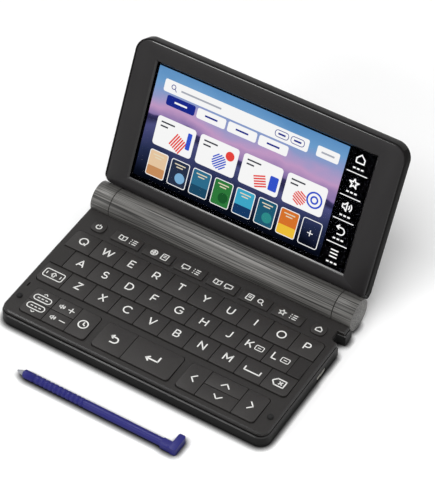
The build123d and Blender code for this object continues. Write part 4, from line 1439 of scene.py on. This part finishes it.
@dataclass
class Studio:
    """Pale floor, soft lamps, white surroundings and the camera."""

    azimuth: float = 31.98
    elevation: float = 47.45
    distance: float = 1178.7
    focal: float = 175.51
    film: float = 36.0
    target: tuple[float, float, float] = (-10.85, 48.42, -0.8)
    floor_side: float = 6.0
    white_as_lamp: float = 0.5

    def build(self) -> None:
        """Set the stage."""
        self.camera()
        self.surroundings()
        self.floor()
        self.lamp("overhead", (-0.41, 0.07, 1.07), 0.3, 3.2, diffuse=False)
        self.lamp("soft_front", (0.06, -0.4, 1.06), 0.7, 8.8, glossy=False)
        self.lamp("key", (-0.8, 0.1, 1.0), 0.6, 2.0, diffuse=False)
        self.lamp("edge", (-0.43, -0.88, 0.69), 0.25, 2.0)
        self.lamp("rim", (0.55, 0.75, 0.8), 0.6, 1.5)

    def camera(self) -> None:
        """Camera on a level head, looking down at the keys from the right."""
        az, el = math.radians(self.azimuth), math.radians(self.elevation)
        back = Vector((math.sin(az) * math.cos(el), -math.cos(az) * math.cos(el), math.sin(el)))
        lens = bpy.data.cameras.new("camera")
        lens.lens, lens.sensor_width = self.focal, self.film
        lens.clip_start, lens.clip_end = LENS_SPAN
        camera = added("camera", lens)
        camera.location = (Vector(self.target) + back * self.distance) * MM
        camera.rotation_euler = back.to_track_quat("Z", "Y").to_euler()
        bpy.context.scene.camera = camera

    def surroundings(self) -> None:
        """White to the eye and in reflections, dimmer as a lamp."""
        world = bpy.data.worlds.new("studio")
        world.use_nodes = True
        bpy.context.scene.world = world
        tree = world.node_tree
        path = add_node(tree, "LightPath").outputs
        seen = add_node(tree, "Math", {"operation": "MAXIMUM"}, {
            0: path["Is Camera Ray"], 1: path["Is Transmission Ray"]})
        both = add_node(tree, "Math", {"operation": "MAXIMUM"}, {0: seen, 1: path["Is Glossy Ray"]})
        strength = add_node(tree, "MapRange", inputs={"Value": both, "To Min": self.white_as_lamp, "To Max": 1.0})
        feed(tree, tree.nodes["Background"], {"Color": WHITE, "Strength": strength})

    def floor(self) -> None:
        """A wide sheet just below the lowest foot."""
        low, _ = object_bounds()
        deselect()
        bpy.ops.mesh.primitive_plane_add(size=self.floor_side, location=(0, 0, low[2] - NEAR))
        floor = bpy.context.object
        floor.name = "floor"
        floor.data.materials.append(PAPER.material())
        floor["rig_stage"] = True

    def lamp(self, name: str, spot: tuple[float, float, float], size: float, power: float,
             diffuse: bool = True, glossy: bool = True) -> None:
        """A soft square lamp aimed at the object.

        Args:
            name: The lamp's name.
            spot: Where it hangs, in metres.
            size: Its side in metres.
            power: Its power in watts.
            diffuse: Whether it lights matt surfaces.
            glossy: Whether it shows in reflections.
        """
        light = bpy.data.lights.new(name, "AREA")
        light.size, light.energy = size, power
        lamp = added(name, light)
        lamp.location = spot
        lamp.visible_diffuse, lamp.visible_glossy = diffuse, glossy
        lamp.rotation_euler = Vector(spot).to_track_quat("Z", "Y").to_euler()


def main() -> None:
    """Build the sub-assemblies in order, logging each, then set the plain view transform."""
    logging.basicConfig(level=logging.INFO)
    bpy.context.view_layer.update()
    for assembly in (Case(), Keyboard(), Barrel(), Lid(), Stylus(), Studio()):
        assembly.build()
        LOG.info("%s built", type(assembly).__name__)
    bpy.context.scene.view_settings.view_transform = "Standard"


if __name__ == "__main__":
    main()
